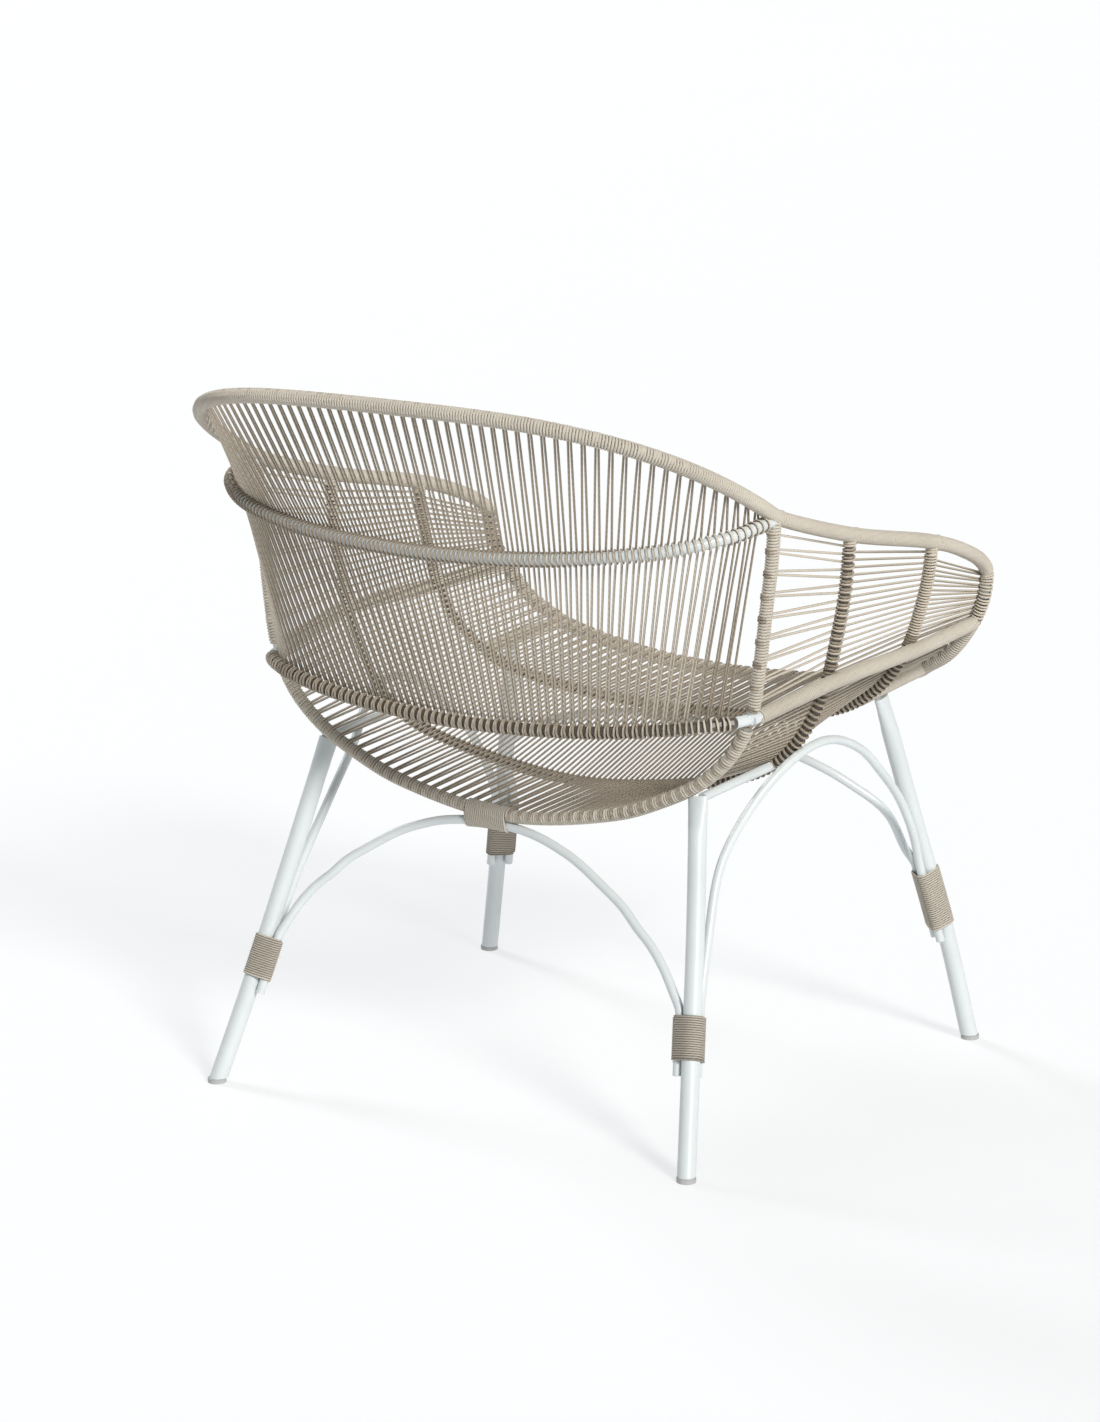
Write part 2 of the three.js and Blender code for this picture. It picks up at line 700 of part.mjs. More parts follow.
// A tube that cords cross or hook round: its line, the way to the sitter and what is wound round it
class Support {
  constructor(line, diameter, towards, binding = null) {
    Object.assign(this, { line, diameter, towards, binding });
  }

  at(distance) {
    return this.line.getPointAt(distance / this.line.length);
  }

  // The support where a cord passes it on its way from one point to another: the way past the tube,
  // the way to the sitter square to both, and half of the cord's bend
  frame(distance, from, to) {
    const point = this.at(distance);
    const tangent = this.line.getTangentAt(distance / this.line.length);
    const square = (way) => way.addScaledVector(tangent, -way.dot(tangent)).normalize();
    const before = square(point.clone().sub(from));
    const past = to ? square(to.clone().sub(point)).add(before).normalize() : before.clone();
    const inner = tangent.clone().cross(past);
    if (inner.dot(this.towards(point)) < 0) inner.negate();
    return { point, inner, past, bend: before.dot(past) };
  }

  // Where a binding is wound round the tube, the cords pass over it
  girth(point) {
    const near = this.binding && Math.abs(point.x - this.binding.centreX) < this.binding.length / 2 + cordSize;
    return this.diameter + (near ? 2 * (cordSize + weldGap + cordGap) : 0);
  }

  cross(distance, from, to) {
    const { point, inner, bend } = this.frame(distance, from, to);
    return [point.clone().addScaledVector(inner, reachOver(this.girth(point)) / bend)];
  }

  hook(distance, from) {
    const { point, inner, past } = this.frame(distance, from);
    const reach = reachOver(this.girth(point)) / Math.cos(hookBend);
    return hookTurns.map((turn) => point.clone()
      .addScaledVector(inner, reach * Math.cos(turn))
      .addScaledVector(past, reach * Math.sin(turn)));
  }
}

// The places of a group of cords along a support, drawn together in the pairs that share a hook
function places([from, to], count, firstPair) {
  const pitch = (to - from) / count;
  const close = Math.max(leastPairing, Math.abs(pitch) * pairShare);
  return Array.from({ length: count }, (_, i) => {
    const even = from + pitch * (i + 0.5);
    const mate = (i + firstPair) % 2 === 0 ? 1 : -1;
    if (firstPair === null || i + mate < 0 || i + mate >= count) return even;
    return even + (mate * Math.sign(pitch) * (Math.abs(pitch) - close)) / 2;
  });
}

// One length of cord that runs to and fro over a row of supports and hooks round the first and the last
function strung(name, supports, spans, count) {
  const last = supports.length - 1;
  const stations = supports.map((_, k) => places(spans[k], count, k === 0 ? 1 : k === last ? 0 : null));
  const points = [];
  for (let i = 0; i < count; i++) {
    const line = supports.map((support, k) => support.at(stations[k][i]));
    const run = supports.flatMap((support, k) => {
      const distance = stations[k][i];
      if (k === 0) return support.hook(distance, line[1]).reverse();
      return k === last ? support.hook(distance, line[k - 1]) : support.cross(distance, line[k - 1], line[k + 1]);
    });
    points.push(...(i % 2 === 0 ? run : run.reverse()));
  }
  addCord(name, points);
}

// Seat and side strings, over the three hoops to the nose and the front edge
const seatFocus = (point) => vector(-point.x, 0, postTopHeight - point.z);
const seatSupports = [
  new Support(hoopBars.rear.line, hoopRod, seatFocus, crownBindings.rear),
  new Support(hoopBars.middle.line, hoopRod, seatFocus),
  new Support(hoopBars.fore.line, hoopRod, seatFocus, crownBindings.front),
  new Support(rimLine, rimTube, seatFocus),
];

// Distances from the left-hand end of each support to its first cord, to the side rail and to its middle
const railStations = Object.values(sideRailHeights);
const noseStringHeight = noseJointHeight + (postTopHeight - noseJointHeight) * noseStringShare;
const seatMarks = seatSupports.map(({ line }, k) => ({
  arm: k < 3 ? armMargin : rimShareAt("z", noseStringHeight) * line.length,
  rail: leftShare(line, "z", railStations[k]) * line.length,
  middle: line.length / 2,
}));
const groups = {
  side_cords: { count: sideCordCount, span: ({ arm, rail }) => [arm, rail - railMargin] },
  seat_cords_outer: {
    count: seatCordCount,
    span: ({ rail, middle }) => [rail + railMargin, (rail + railMargin + middle) / 2],
  },
  seat_cords_inner: { count: seatCordCount, span: ({ rail, middle }) => [(rail + railMargin + middle) / 2, middle] },
};
for (const [sideName, side] of Object.entries(sides)) {
  for (const [group, { count, span }] of Object.entries(groups)) {
    const spans = seatMarks.map((mark, k) =>
      span(mark).map((distance) => (side === sides.left ? distance : seatSupports[k].line.length - distance)));
    strung(`${group}_${sideName}`, seatSupports, spans, count);
  }
}

// Back strings, in sectors from the right-hand post round to the left-hand one
const backFocus = (point) => vector(-point.x, rearHoopY - point.y, 0);
const backSupports = [
  new Support(topRail.line, rimTube, backFocus),
  new Support(midBar.line, backTube, backFocus),
  new Support(lowBar.line, backTube, backFocus),
];
const postDistance = shareWhere(topRail.line, "y", rearHoopY, 0, 0.5) * topRail.line.length;
for (let sector = 0; sector < backSectorCount; sector++) {
  const spans = backSupports.map(({ line }, k) => {
    const start = (k === 0 ? postDistance : 0) + backMargin;
    const pitch = (line.length - 2 * start) / backSectorCount;
    return [start + pitch * sector, start + pitch * (sector + 1)];
  });
  strung(`back_cords_${sector + 1}`, backSupports, spans, backCordCount);
}

export default chair;
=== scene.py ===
"""Looks of the low string armchair: bent steel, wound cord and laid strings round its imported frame."""

import logging
import math
from collections.abc import Callable, Sequence
from dataclasses import dataclass, field
from enum import Enum

import bpy
import numpy as np
from mathutils import Matrix, Vector


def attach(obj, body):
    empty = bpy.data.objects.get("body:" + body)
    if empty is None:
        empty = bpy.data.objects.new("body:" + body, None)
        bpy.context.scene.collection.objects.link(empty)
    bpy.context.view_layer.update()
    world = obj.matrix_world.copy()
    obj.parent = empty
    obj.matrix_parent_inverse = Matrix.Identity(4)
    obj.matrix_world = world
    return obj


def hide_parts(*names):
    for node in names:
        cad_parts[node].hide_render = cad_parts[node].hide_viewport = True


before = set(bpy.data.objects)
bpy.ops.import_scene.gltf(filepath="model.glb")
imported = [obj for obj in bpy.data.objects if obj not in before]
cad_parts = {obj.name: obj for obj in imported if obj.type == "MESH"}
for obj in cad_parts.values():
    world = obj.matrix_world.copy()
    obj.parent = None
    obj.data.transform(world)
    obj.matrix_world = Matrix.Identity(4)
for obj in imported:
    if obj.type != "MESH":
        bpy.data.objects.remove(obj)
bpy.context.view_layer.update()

log = logging.getLogger("chair")

Array = np.ndarray
MM = 0.001
TURN = 2 * math.pi
UP = np.array([0.0, 0.0, 1.0])
# Samples between two points of a smooth curve
DENSITY = 40
# Length of a direction's level part below which it counts as upright
NEARLY_UPRIGHT = 0.1


class Side(Enum):
    """The sitter's two sides, with the sign of X on each."""

    RIGHT = -1
    LEFT = 1

    @property
    def label(self) -> str:
        """Return the side's name as the frame's nodes spell it."""
        return self.name.lower()

    def turned(self, points: Array) -> Array:
        """Return left-hand points mirrored to this side."""
        return points * np.array([float(self.value), 1.0, 1.0])


class End(Enum):
    """The two pairs of legs."""

    REAR = "rear"
    FRONT = "front"


# Curves


def unit(vectors: Array) -> Array:
    """Scale vectors to length one.

    Args:
        vectors: One vector or rows of vectors.

    Returns:
        The same directions with length one.
    """
    length = np.linalg.norm(vectors, axis=-1, keepdims=True)
    return vectors / np.maximum(length, 1e-12)


def square_to(vectors: Array, axis: Array) -> Array:
    """Take out of vectors what lies along an axis.

    Args:
        vectors: Rows of vectors.
        axis: Rows of unit vectors, or one.

    Returns:
        Unit vectors square to the axis.
    """
    along = np.sum(vectors * axis, axis=-1, keepdims=True)
    return unit(vectors - along * axis)


def carried(forward: Array) -> Array:
    """Carry a direction across lines from their starts, turned no more than the lines bend.

    Args:
        forward: Unit directions along the lines, as lines by points by three.

    Returns:
        Unit directions across the lines at the same points.
    """
    across = np.cross(forward[:, 0], UP)
    across[np.linalg.norm(across, axis=1) < NEARLY_UPRIGHT] = (1.0, 0.0, 0.0)
    rows = [square_to(across, forward[:, 0])]
    for k in range(1, forward.shape[1]):
        rows.append(square_to(rows[-1], forward[:, k]))
    return np.stack(rows, axis=1)


def smooth(points: Sequence[Sequence[float]] | Array, closed: bool = False) -> Array:
    """Draw a centripetal Catmull-Rom curve through points.

    Args:
        points: Rows of points in order.
        closed: Whether the last point leads back to the first.

    Returns:
        Dense rows of points along the curve.
    """
    rows = np.asarray(points, float)
    if closed:
        padded = np.vstack([rows[-1], rows, rows[0], rows[1]])
    else:
        padded = np.vstack([2 * rows[0] - rows[1], rows, 2 * rows[-1] - rows[-2]])
    t = np.linspace(0, 1, DENSITY, endpoint=False)[:, None]
    drawn = []
    for a, b, c, d in zip(padded, padded[1:], padded[2:], padded[3:]):
        ab, bc, cd = (max(float(np.linalg.norm(q - p)) ** 0.5, 1e-9) for p, q in ((a, b), (b, c), (c, d)))
        leave = bc * ((b - a) / ab - (c - a) / (ab + bc) + (c - b) / bc)
        arrive = bc * ((c - b) / bc - (d - b) / (bc + cd) + (d - c) / cd)
        drawn.append(
            (2 * t**3 - 3 * t**2 + 1) * b
            + (t**3 - 2 * t**2 + t) * leave
            + (3 * t**2 - 2 * t**3) * c
            + (t**3 - t**2) * arrive
        )
    return np.vstack([*drawn, rows[0] if closed else rows[-1]])


class Line:
    """A dense polyline, read by its distance from the start, that carries a square frame along."""

    def __init__(self, points: Array) -> None:
        """Measure the points and carry a direction across the line from its start to its end.

        Args:
            points: Dense rows of points.
        """
        self.points = np.asarray(points, float)
        steps = np.linalg.norm(np.diff(self.points, axis=0), axis=1)
        self.marks = np.concatenate([[0.0], np.cumsum(steps)])
        self.length = float(self.marks[-1])
        self.directions = unit(np.gradient(self.points, self.marks, axis=0))
        self.sides = carried(self.directions[None])[0]

    def _read(self, table: Array, distance: Array | float) -> Array:
        """Return rows of a table at distances along the line."""
        where = np.clip(np.atleast_1d(distance), 0, self.length)
        return np.column_stack([np.interp(where, self.marks, table[:, k]) for k in range(3)])

    def at(self, distance: Array | float) -> Array:
        """Return the points at distances along the line."""
        return self._read(self.points, distance)

    def along(self, distance: Array | float) -> Array:
        """Return the unit directions at distances along the line."""
        return unit(self._read(self.directions, distance))

    def across(self, distance: Array | float) -> tuple[Array, Array]:
        """Return two directions square to the line and to each other at distances along it."""
        forward = self.along(distance)
        first = square_to(self._read(self.sides, distance), forward)
        return first, np.cross(forward, first)

    def where(self, axis: int, value: float, start: float = 0.0, end: float | None = None) -> float:
        """Find where a coordinate first takes a value.

        Args:
            axis: 0, 1 or 2 for X, Y or Z.
            value: The coordinate's value.
            start: The distance to look from.
            end: The distance to look up to, or None for the line's end.

        Returns:
            The distance along the line.
        """
        samples = 4000
        distances = np.linspace(start, self.length if end is None else end, samples)
        rest = self.at(distances)[:, axis] - value
        changes = np.nonzero(rest[:-1] * rest[1:] <= 0)[0]
        if not len(changes):
            return float(distances[np.argmin(np.abs(rest))])
        i = changes[0]
        share = rest[i] / (rest[i] - rest[i + 1]) if rest[i] != rest[i + 1] else 0.0
        return float(distances[i] + share * (distances[i + 1] - distances[i]))

    def part(self, start: float, end: float, count: int) -> "Line":
        """Return the stretch of the line between two distances, read at a number of points."""
        return Line(self.at(np.linspace(start, end, count)))

    def mirrored(self, side: Side) -> "Line":
        """Return this left-hand line on the given side."""
        return Line(side.turned(self.points))


# Centre lines


def power(value: float, exponent: float) -> float:
    """Raise a value to a power and keep its sign."""
    return math.copysign(abs(value) ** exponent, value)


@dataclass(frozen=True)
class BackArc:
    """A tube that runs round the back from post to post, in millimetres."""

    half_width: float
    depth: float
    end_height: float
    rise: float
    powers: tuple[float, float, float]

    def points(self, count: int, rear_y: float) -> list[tuple[float, float, float]]:
        """Place points round the arc, crowded towards the posts.

        Args:
            count: How many steps lie between the two posts.
            rear_y: Where the posts stand along the chair.

        Returns:
            Points from the sitter's right to the left.
        """
        rows = []
        for i in range(count + 1):
            turn = math.pi / 2 * math.sin(math.pi / 2 * (2 * i / count - 1))
            cosine = 0.0 if i in (0, count) else math.cos(turn)
            rows.append(
                (
                    self.half_width * power(math.sin(turn), self.powers[0]),
                    rear_y + self.depth * power(cosine, self.powers[1]),
                    self.end_height + self.rise * power(cosine, self.powers[2]),
                )
            )
        return rows


@dataclass(frozen=True)
class Hoop:
    """A U-shaped rod under the seat: where it stands, how low it hangs and its outline's shares."""

    y: float
    belly: float
    outline: tuple[tuple[float, float], ...]


HOOPS = {
    "rear": Hoop(134.0, 323.0, (
        (0.42, 0.058), (0.58, 0.112), (0.73, 0.184), (0.833, 0.265), (0.893, 0.345), (0.93, 0.435),
        (0.952, 0.56), (0.972, 0.72), (0.99, 0.86),
    )),
    "middle": Hoop(-16.0, 329.0, (
        (0.33, 0.036), (0.6, 0.1), (0.733, 0.166), (0.816, 0.253), (0.884, 0.37), (0.925, 0.487),
        (0.961, 0.657), (0.985, 0.8),
    )),
    "fore": Hoop(-199.0, 379.0, (
        (0.3, 0.015), (0.567, 0.069), (0.7, 0.134), (0.771, 0.198), (0.835, 0.278), (0.883, 0.372),
        (0.93, 0.51), (0.965, 0.68), (0.988, 0.83),
    )),
}
# Rows of shares: along, down and out, from post to nose
ARM = (
    (0.313, 0.253, 1.021), (0.695, 0.476, 1.03), (0.841, 0.594, 1.027), (0.956, 0.729, 1.021),
    (0.994, 0.818, 1.015),
)
# Rows of shares: out, up and along, from the nose to under the seat's front
FRONT_EDGE = (
    (0.944, 0.715, 0.26), (0.856, 0.45, 0.56), (0.766, 0.303, 0.84), (0.719, 0.233, 1.0),
    (0.38, 0.055, 1.0),
)
# Rows of shares between top and foot: out, along and up
LEG_BENDS = {
    End.REAR: ((0.6818, 0.6692, 0.3077), (0.3636, 0.3385, 0.6366)),
    End.FRONT: ((0.6988, 0.7632, 0.316), (0.3253, 0.3816, 0.6667)),
}
# Rows of shares between leg and crown: out and up
REAR_ARCH = (
    (0.97, 0.085), (0.905, 0.25), (0.835, 0.38), (0.765, 0.475), (0.689, 0.591), (0.578, 0.709),
    (0.465, 0.82), (0.378, 0.885), (0.22, 0.965),
)
FRONT_ARCH = (
    (0.975, 0.13), (0.965, 0.29), (0.955, 0.379), (0.936, 0.449), (0.902, 0.515), (0.811, 0.629),
    (0.724, 0.719), (0.6, 0.807), (0.43, 0.89), (0.22, 0.965),
)
# Rows of shares between the legs: along, up and sideways
SIDE_ARCH = (
    (0.065, 0.26, -0.4), (0.164, 0.564, -0.9), (0.287, 0.785, -0.75), (0.371, 0.92, -0.3),
    (0.457, 0.997, 0.08), (0.56, 0.991, 0.15), (0.676, 0.89, 0.22), (0.783, 0.712, 0.13),
    (0.883, 0.499, 0.05), (0.959, 0.241, 0.0),
)


@dataclass(frozen=True)
class Binding:
    """A sleeve of cord round a bundle: where it starts, how long it is and how many turns it has."""

    start: float
    length: float
    turns: int


@dataclass
class Skeleton:
    """The centre lines of all tubes, rods and hoops.

    Sizes are in millimetres. Lines are in metres, and so are the distances from the back's middle
    past which the rim has left its crown and its corner.
    """

    rim_tube: float = 12.0
    back_tube: float = 12.0
    side_tube: float = 12.0
    rod: float = 10.0
    leg_tube: float = 20.0
    weld_gap: float = 0.3
    rod_gap: float = 0.6
    half_width: float = 330.0
    back_depth: float = 235.0
    post_height: float = 688.0
    back_rise: float = 118.0
    nose_y: float = -345.0
    nose_height: float = 518.0
    nose_width: float = 1.003
    edge_y: float = -365.0
    edge_height: float = 386.0
    rail_heights: tuple[float, ...] = (470.0, 488.0, 489.0, 488.0)
    rail_inset: float = 2.0
    strut_widths: tuple[float, ...] = (0.7394, 0.7455, 0.7576, 0.7455)
    strut_height: float = 377.0
    foot_y: dict[End, float] = field(default_factory=lambda: {End.REAR: 260.0, End.FRONT: -335.0})
    foot_widths: dict[End, float] = field(default_factory=lambda: {End.REAR: 0.9242, End.FRONT: 1.0061})
    arch_height: float = 404.0
    arch_swing: float = 25.0
    rod_tip: float = 14.0
    cord: float = 2.3
    sleeves: dict[End, Binding] = field(
        default_factory=lambda: {End.REAR: Binding(124.0, 50.0, 19), End.FRONT: Binding(141.0, 72.0, 27)}
    )
    crowns: dict[End, Binding] = field(
        default_factory=lambda: {End.REAR: Binding(23.0, 56.0, 21), End.FRONT: Binding(0.0, 56.0, 21)}
    )
    nose_share: float = 0.1765
    strut_back: float = 4.0
    leg_inset: float = 5.0
    front_leg_share: float = 0.362
    front_leg_drop: float = 9.0
    past_crown: float = 0.05
    past_corner: float = 0.3

    def __post_init__(self) -> None:
        """Draw every line, each from those before it."""
        self.rear_y = HOOPS["rear"].y
        self.rim = self._rim()
        self.nose_mark = self.rim_mark(2, self.nose_height)
        self.hoops = {name: self._hoop(hoop) for name, hoop in HOOPS.items()}
        arcs = {
            "mid": BackArc(329.0, 166.0, self.post_height - 4.5, -40.0, (1.01, 0.741, 1.246)),
            "low": BackArc(302.0, 90.5, self.rail_heights[0], -22.6, (0.956, 0.92, 2.328)),
        }
        self.rails = {name: Line(smooth(arc.points(10, self.rear_y)) * MM) for name, arc in arcs.items()}
        self.side_rail = self._side_rail()
        self.struts = self._struts()
        self.legs = {end: self._leg(end) for end in End}
        self.arches = {
            End.REAR: self._cross_arch(End.REAR, HOOPS["rear"], REAR_ARCH),
            End.FRONT: self._cross_arch(End.FRONT, HOOPS["fore"], FRONT_ARCH),
        }
        self.side_arch = self._side_arch()

    def _rim(self) -> Line:
        """Return the closed rim from the middle of the back over the left arm and round."""
        back_count = 14
        powers = (0.614, 0.804, 0.8)
        back = BackArc(self.half_width, self.back_depth, self.post_height, self.back_rise, powers)
        drop = self.post_height - self.nose_height
        run = self.nose_y - self.rear_y
        arm = [(self.half_width * w, self.rear_y + run * r, self.post_height - drop * f) for r, f, w in ARM]
        joint = (self.half_width * self.nose_width, self.nose_y, self.nose_height)
        reach, fall = self.edge_y - self.nose_y, self.edge_height - joint[2]
        edge = [
            (joint[0] * w, self.nose_y + reach * r, self.edge_height - fall * h) for w, h, r in FRONT_EDGE
        ]
        left = [*arm, joint, *edge]
        right = [(-x, y, z) for x, y, z in reversed(left)]
        rows = [(0.0, self.edge_y, self.edge_height), *right, *back.points(back_count, self.rear_y), *left]
        dense = smooth(rows, closed=True)[:-1]
        middle = (1 + len(right) + back_count // 2) * DENSITY
        rolled = np.roll(dense, -middle, axis=0)
        return Line(np.vstack([rolled, rolled[:1]]) * MM)

    def _hoop(self, hoop: Hoop) -> Line:
        """Return a hoop from its head at the left arm over the belly to the right arm."""
        head = self.rim.at(self.head_mark(hoop.y))[0] / MM
        rise = head[2] - hoop.belly
        left = [(head[0] * w, hoop.y, hoop.belly + rise * h) for w, h in (*hoop.outline, (1.0, 1.0))]
        right = [(-x, y, z) for x, y, z in left]
        return Line(smooth([*left[::-1], (0.0, hoop.y, hoop.belly), *right]) * MM)

    def left_mark(self, line: Line, axis: int, value: float) -> float:
        """Return the distance along a line's left half where a coordinate in millimetres is met."""
        return line.where(axis, value * MM, 0.0, line.length / 2)

    def rim_mark(self, axis: int, value: float) -> float:
        """Return the distance along the rim's left arm and nose where a coordinate is met."""
        return self.rim.where(axis, value * MM, self.past_corner, self.rim.length / 2)

    def head_mark(self, y: float) -> float:
        """Return the distance along the rim's left arm where it is at a Y in millimetres."""
        return self.rim.where(1, y * MM, self.past_crown, self.rim.length / 2)

    def into_seat(self, point: Array) -> Array:
        """Return the way from a point of a hoop to the sitter's middle."""
        return np.array([-point[0], 0.0, self.post_height * MM - point[2]])

    def into_back(self, point: Array) -> Array:
        """Return the way from a point of a back rail to the sitter's back."""
        return np.array([-point[0], self.rear_y * MM - point[1], 0.0])

    def over_back(self, mark: float, samples: int) -> Line:
        """Return the rim's stretch over the back.

        Args:
            mark: How far it runs to each side of the back's middle.
            samples: How many points each half has.

        Returns:
            The stretch, from the sitter's right to the left.
        """
        whole = self.rim.length
        right = self.rim.at(np.linspace(whole - mark, whole, samples))[:-1]
        return Line(np.vstack([right, self.rim.at(np.linspace(0, mark, samples))]))

    @property
    def nose_strings(self) -> tuple[float, float]:
        """Return where the side strings start and end on the rim's left nose, as distances along it."""
        top = self.nose_height + (self.post_height - self.nose_height) * self.nose_share
        return self.rim_mark(2, top), self.rim_mark(2, self.rail_heights[3])

    def _beside(self, line: Line, mark: float, distance: float) -> Array:
        """Return the point outside a tube at a mark, a distance in millimetres from its line."""
        point = line.at(mark)[0]
        out = np.array([point[0], 0.0, point[2] - self.post_height * MM])
        return point / MM + square_to(out, line.along(mark)[0]) * distance

    def _side_rail(self) -> Line:
        """Return the left side rail, which lies outside the middle and fore hoops."""
        offset = (self.rod + self.side_tube) / 2 + self.weld_gap
        lines = [self.hoops["rear"], self.hoops["middle"], self.hoops["fore"]]
        offsets = [self.rail_inset, offset, offset]
        points = [
            self._beside(line, self.left_mark(line, 2, height), out)
            for line, height, out in zip(lines, self.rail_heights, offsets)
        ]
        points.append(self._beside(self.rim, self.rim_mark(2, self.rail_heights[3]), self.rail_inset))
        return Line(smooth(points) * MM)

    def _struts(self) -> dict[str, Line]:
        """Return the left struts under the seat, each straight from tube to tube."""
        xs = [self.half_width * share for share in self.strut_widths]
        rear = np.array([xs[0], self.rear_y - self.strut_back, self.strut_height]) * MM
        middle = self.hoops["middle"].at(self.left_mark(self.hoops["middle"], 0, xs[1]))[0]
        fore = self.hoops["fore"].at(self.left_mark(self.hoops["fore"], 0, xs[2]))[0]
        bow = self.rim.at(self.rim.where(0, xs[3] * MM, self.nose_mark, self.rim.length / 2))[0]
        spans = {"rear": (rear, middle), "front": (fore, bow)}
        return {name: Line(np.linspace(a, b, 12)) for name, (a, b) in spans.items()}

    def _leg(self, end: End) -> Line:
        """Return the axis of a left leg from the foot up."""
        if end is End.REAR:
            out = self.half_width * self.strut_widths[0] - self.leg_inset
            top = np.array([out, self.rear_y - self.strut_back, self.strut_height])
        else:
            fore, bow = self.struts["front"].points[[0, -1]] / MM
            top = fore + (bow - fore) * self.front_leg_share - UP * self.front_leg_drop
        foot = np.array([self.half_width * self.foot_widths[end], self.foot_y[end], 0.0])
        bends = [
            top + (foot - top) * np.array([out, away, 0.0]) + UP * (height * top[2] - top[2])
            for out, away, height in LEG_BENDS[end]
        ]
        return Line(smooth([foot, *bends, top]) * MM)

    def leg_frame(self, end: End, distance: float) -> tuple[Array, Array, Array]:
        """Read a left leg's square frame.

        Args:
            end: Which leg.
            distance: Millimetres up its axis.

        Returns:
            The point on the axis in millimetres, the way to the chair's middle and the way to the next leg.
        """
        leg = self.legs[end]
        point, axis = leg.at(distance * MM)[0] / MM, leg.along(distance * MM)[0]
        inward = square_to(np.array([-1.0, 0.0, 0.0]), axis)
        onward = np.cross(axis, inward)
        wanted = -1.0 if end is End.REAR else 1.0
        return point, inward, onward if onward[1] * wanted > 0 else -onward

    @property
    def rod_offset(self) -> float:
        """Return how far a rod's line lies from the axis of the leg that it is bound to."""
        return (self.leg_tube + self.rod) / 2 + self.rod_gap

    def _arch_foot(self, end: End, inward: bool) -> list[Array]:
        """Return the foot of an arch beside a left leg, from its tip to the top of the sleeve."""
        sleeve = self.sleeves[end]
        rows = []
        third = sleeve.length / 3
        for height in (-self.rod_tip, 0.0, third, 2 * sleeve.length / 3, sleeve.length + 2 * self.cord):
            point, across, onward = self.leg_frame(end, sleeve.start + height)
            rows.append(point + (across if inward else onward) * self.rod_offset)
        return rows

    def _cross_arch(self, end: End, hoop: Hoop, shares: Sequence[tuple[float, float]]) -> Line:
        """Return the arch between the legs of a pair, from the left foot to the right one."""
        foot = self._arch_foot(end, inward=True)
        top = foot[-1]
        lean = self.crowns[end].start
        crown = np.array([lean, hoop.y, hoop.belly - self.rod - self.weld_gap])

        def limb(side: Side) -> list[Array]:
            """Return the limb's points on one side."""
            return [
                np.array([top[0] * w * side.value + lean * h, *(top[1:] + (crown[1:] - top[1:]) * h)])
                for w, h in shares
            ]

        right = [*[Side.RIGHT.turned(point) for point in foot], *limb(Side.RIGHT)]
        return Line(smooth([*foot, *limb(Side.LEFT), crown, *right[::-1]]) * MM)

    def _side_arch(self) -> Line:
        """Return the left side arch from the rear leg to the front leg."""
        rear = self._arch_foot(End.REAR, inward=False)
        front = self._arch_foot(End.FRONT, inward=False)[::-1]
        limb = []
        for run, height, swing in SIDE_ARCH:
            base = rear[-1] + (front[0] - rear[-1]) * run
            rise = (self.arch_height - base[2]) * height
            limb.append(base + np.array([self.arch_swing * swing, 0.0, rise]))
        return Line(smooth([*rear, *limb, *front]) * MM)


# Finishes


def math_method(operation: str, reflected: bool = False) -> Callable[..., "Signal"]:
    """Make a method of Signal that adds one Math node.

    Args:
        operation: The node's operation.
        reflected: Whether the other value comes first.

    Returns:
        The method, which takes the other values, if any.
    """

    def method(self: "Signal", *others: "Signal | float") -> "Signal":
        """Return the node's result."""
        values = (*others, self) if reflected else (self, *others)
        return self.desk.node("ShaderNodeMath", {"operation": operation}, dict(enumerate(values)))

    return method


class Signal:
    """A shader socket that takes part in arithmetic, each operation adding its Math node."""

    def __init__(self, desk: "Desk", socket: bpy.types.NodeSocket) -> None:
        """Wrap a socket of a desk's node tree."""
        self.desk = desk
        self.socket = socket

    __add__ = __radd__ = math_method("ADD")
    __mul__ = __rmul__ = math_method("MULTIPLY")
    __sub__ = math_method("SUBTRACT")
    __rsub__ = math_method("SUBTRACT", reflected=True)
    __pow__ = math_method("POWER")
    wave = math_method("SINE")

    def between(self, low: float, high: float) -> "Signal":
        """Return the value spread from 0 at low to 1 at high, and held there."""
        inputs = {"Value": self, "From Min": low, "From Max": high}
        return self.desk.node("ShaderNodeMapRange", {"clamp": True}, inputs, "Result")


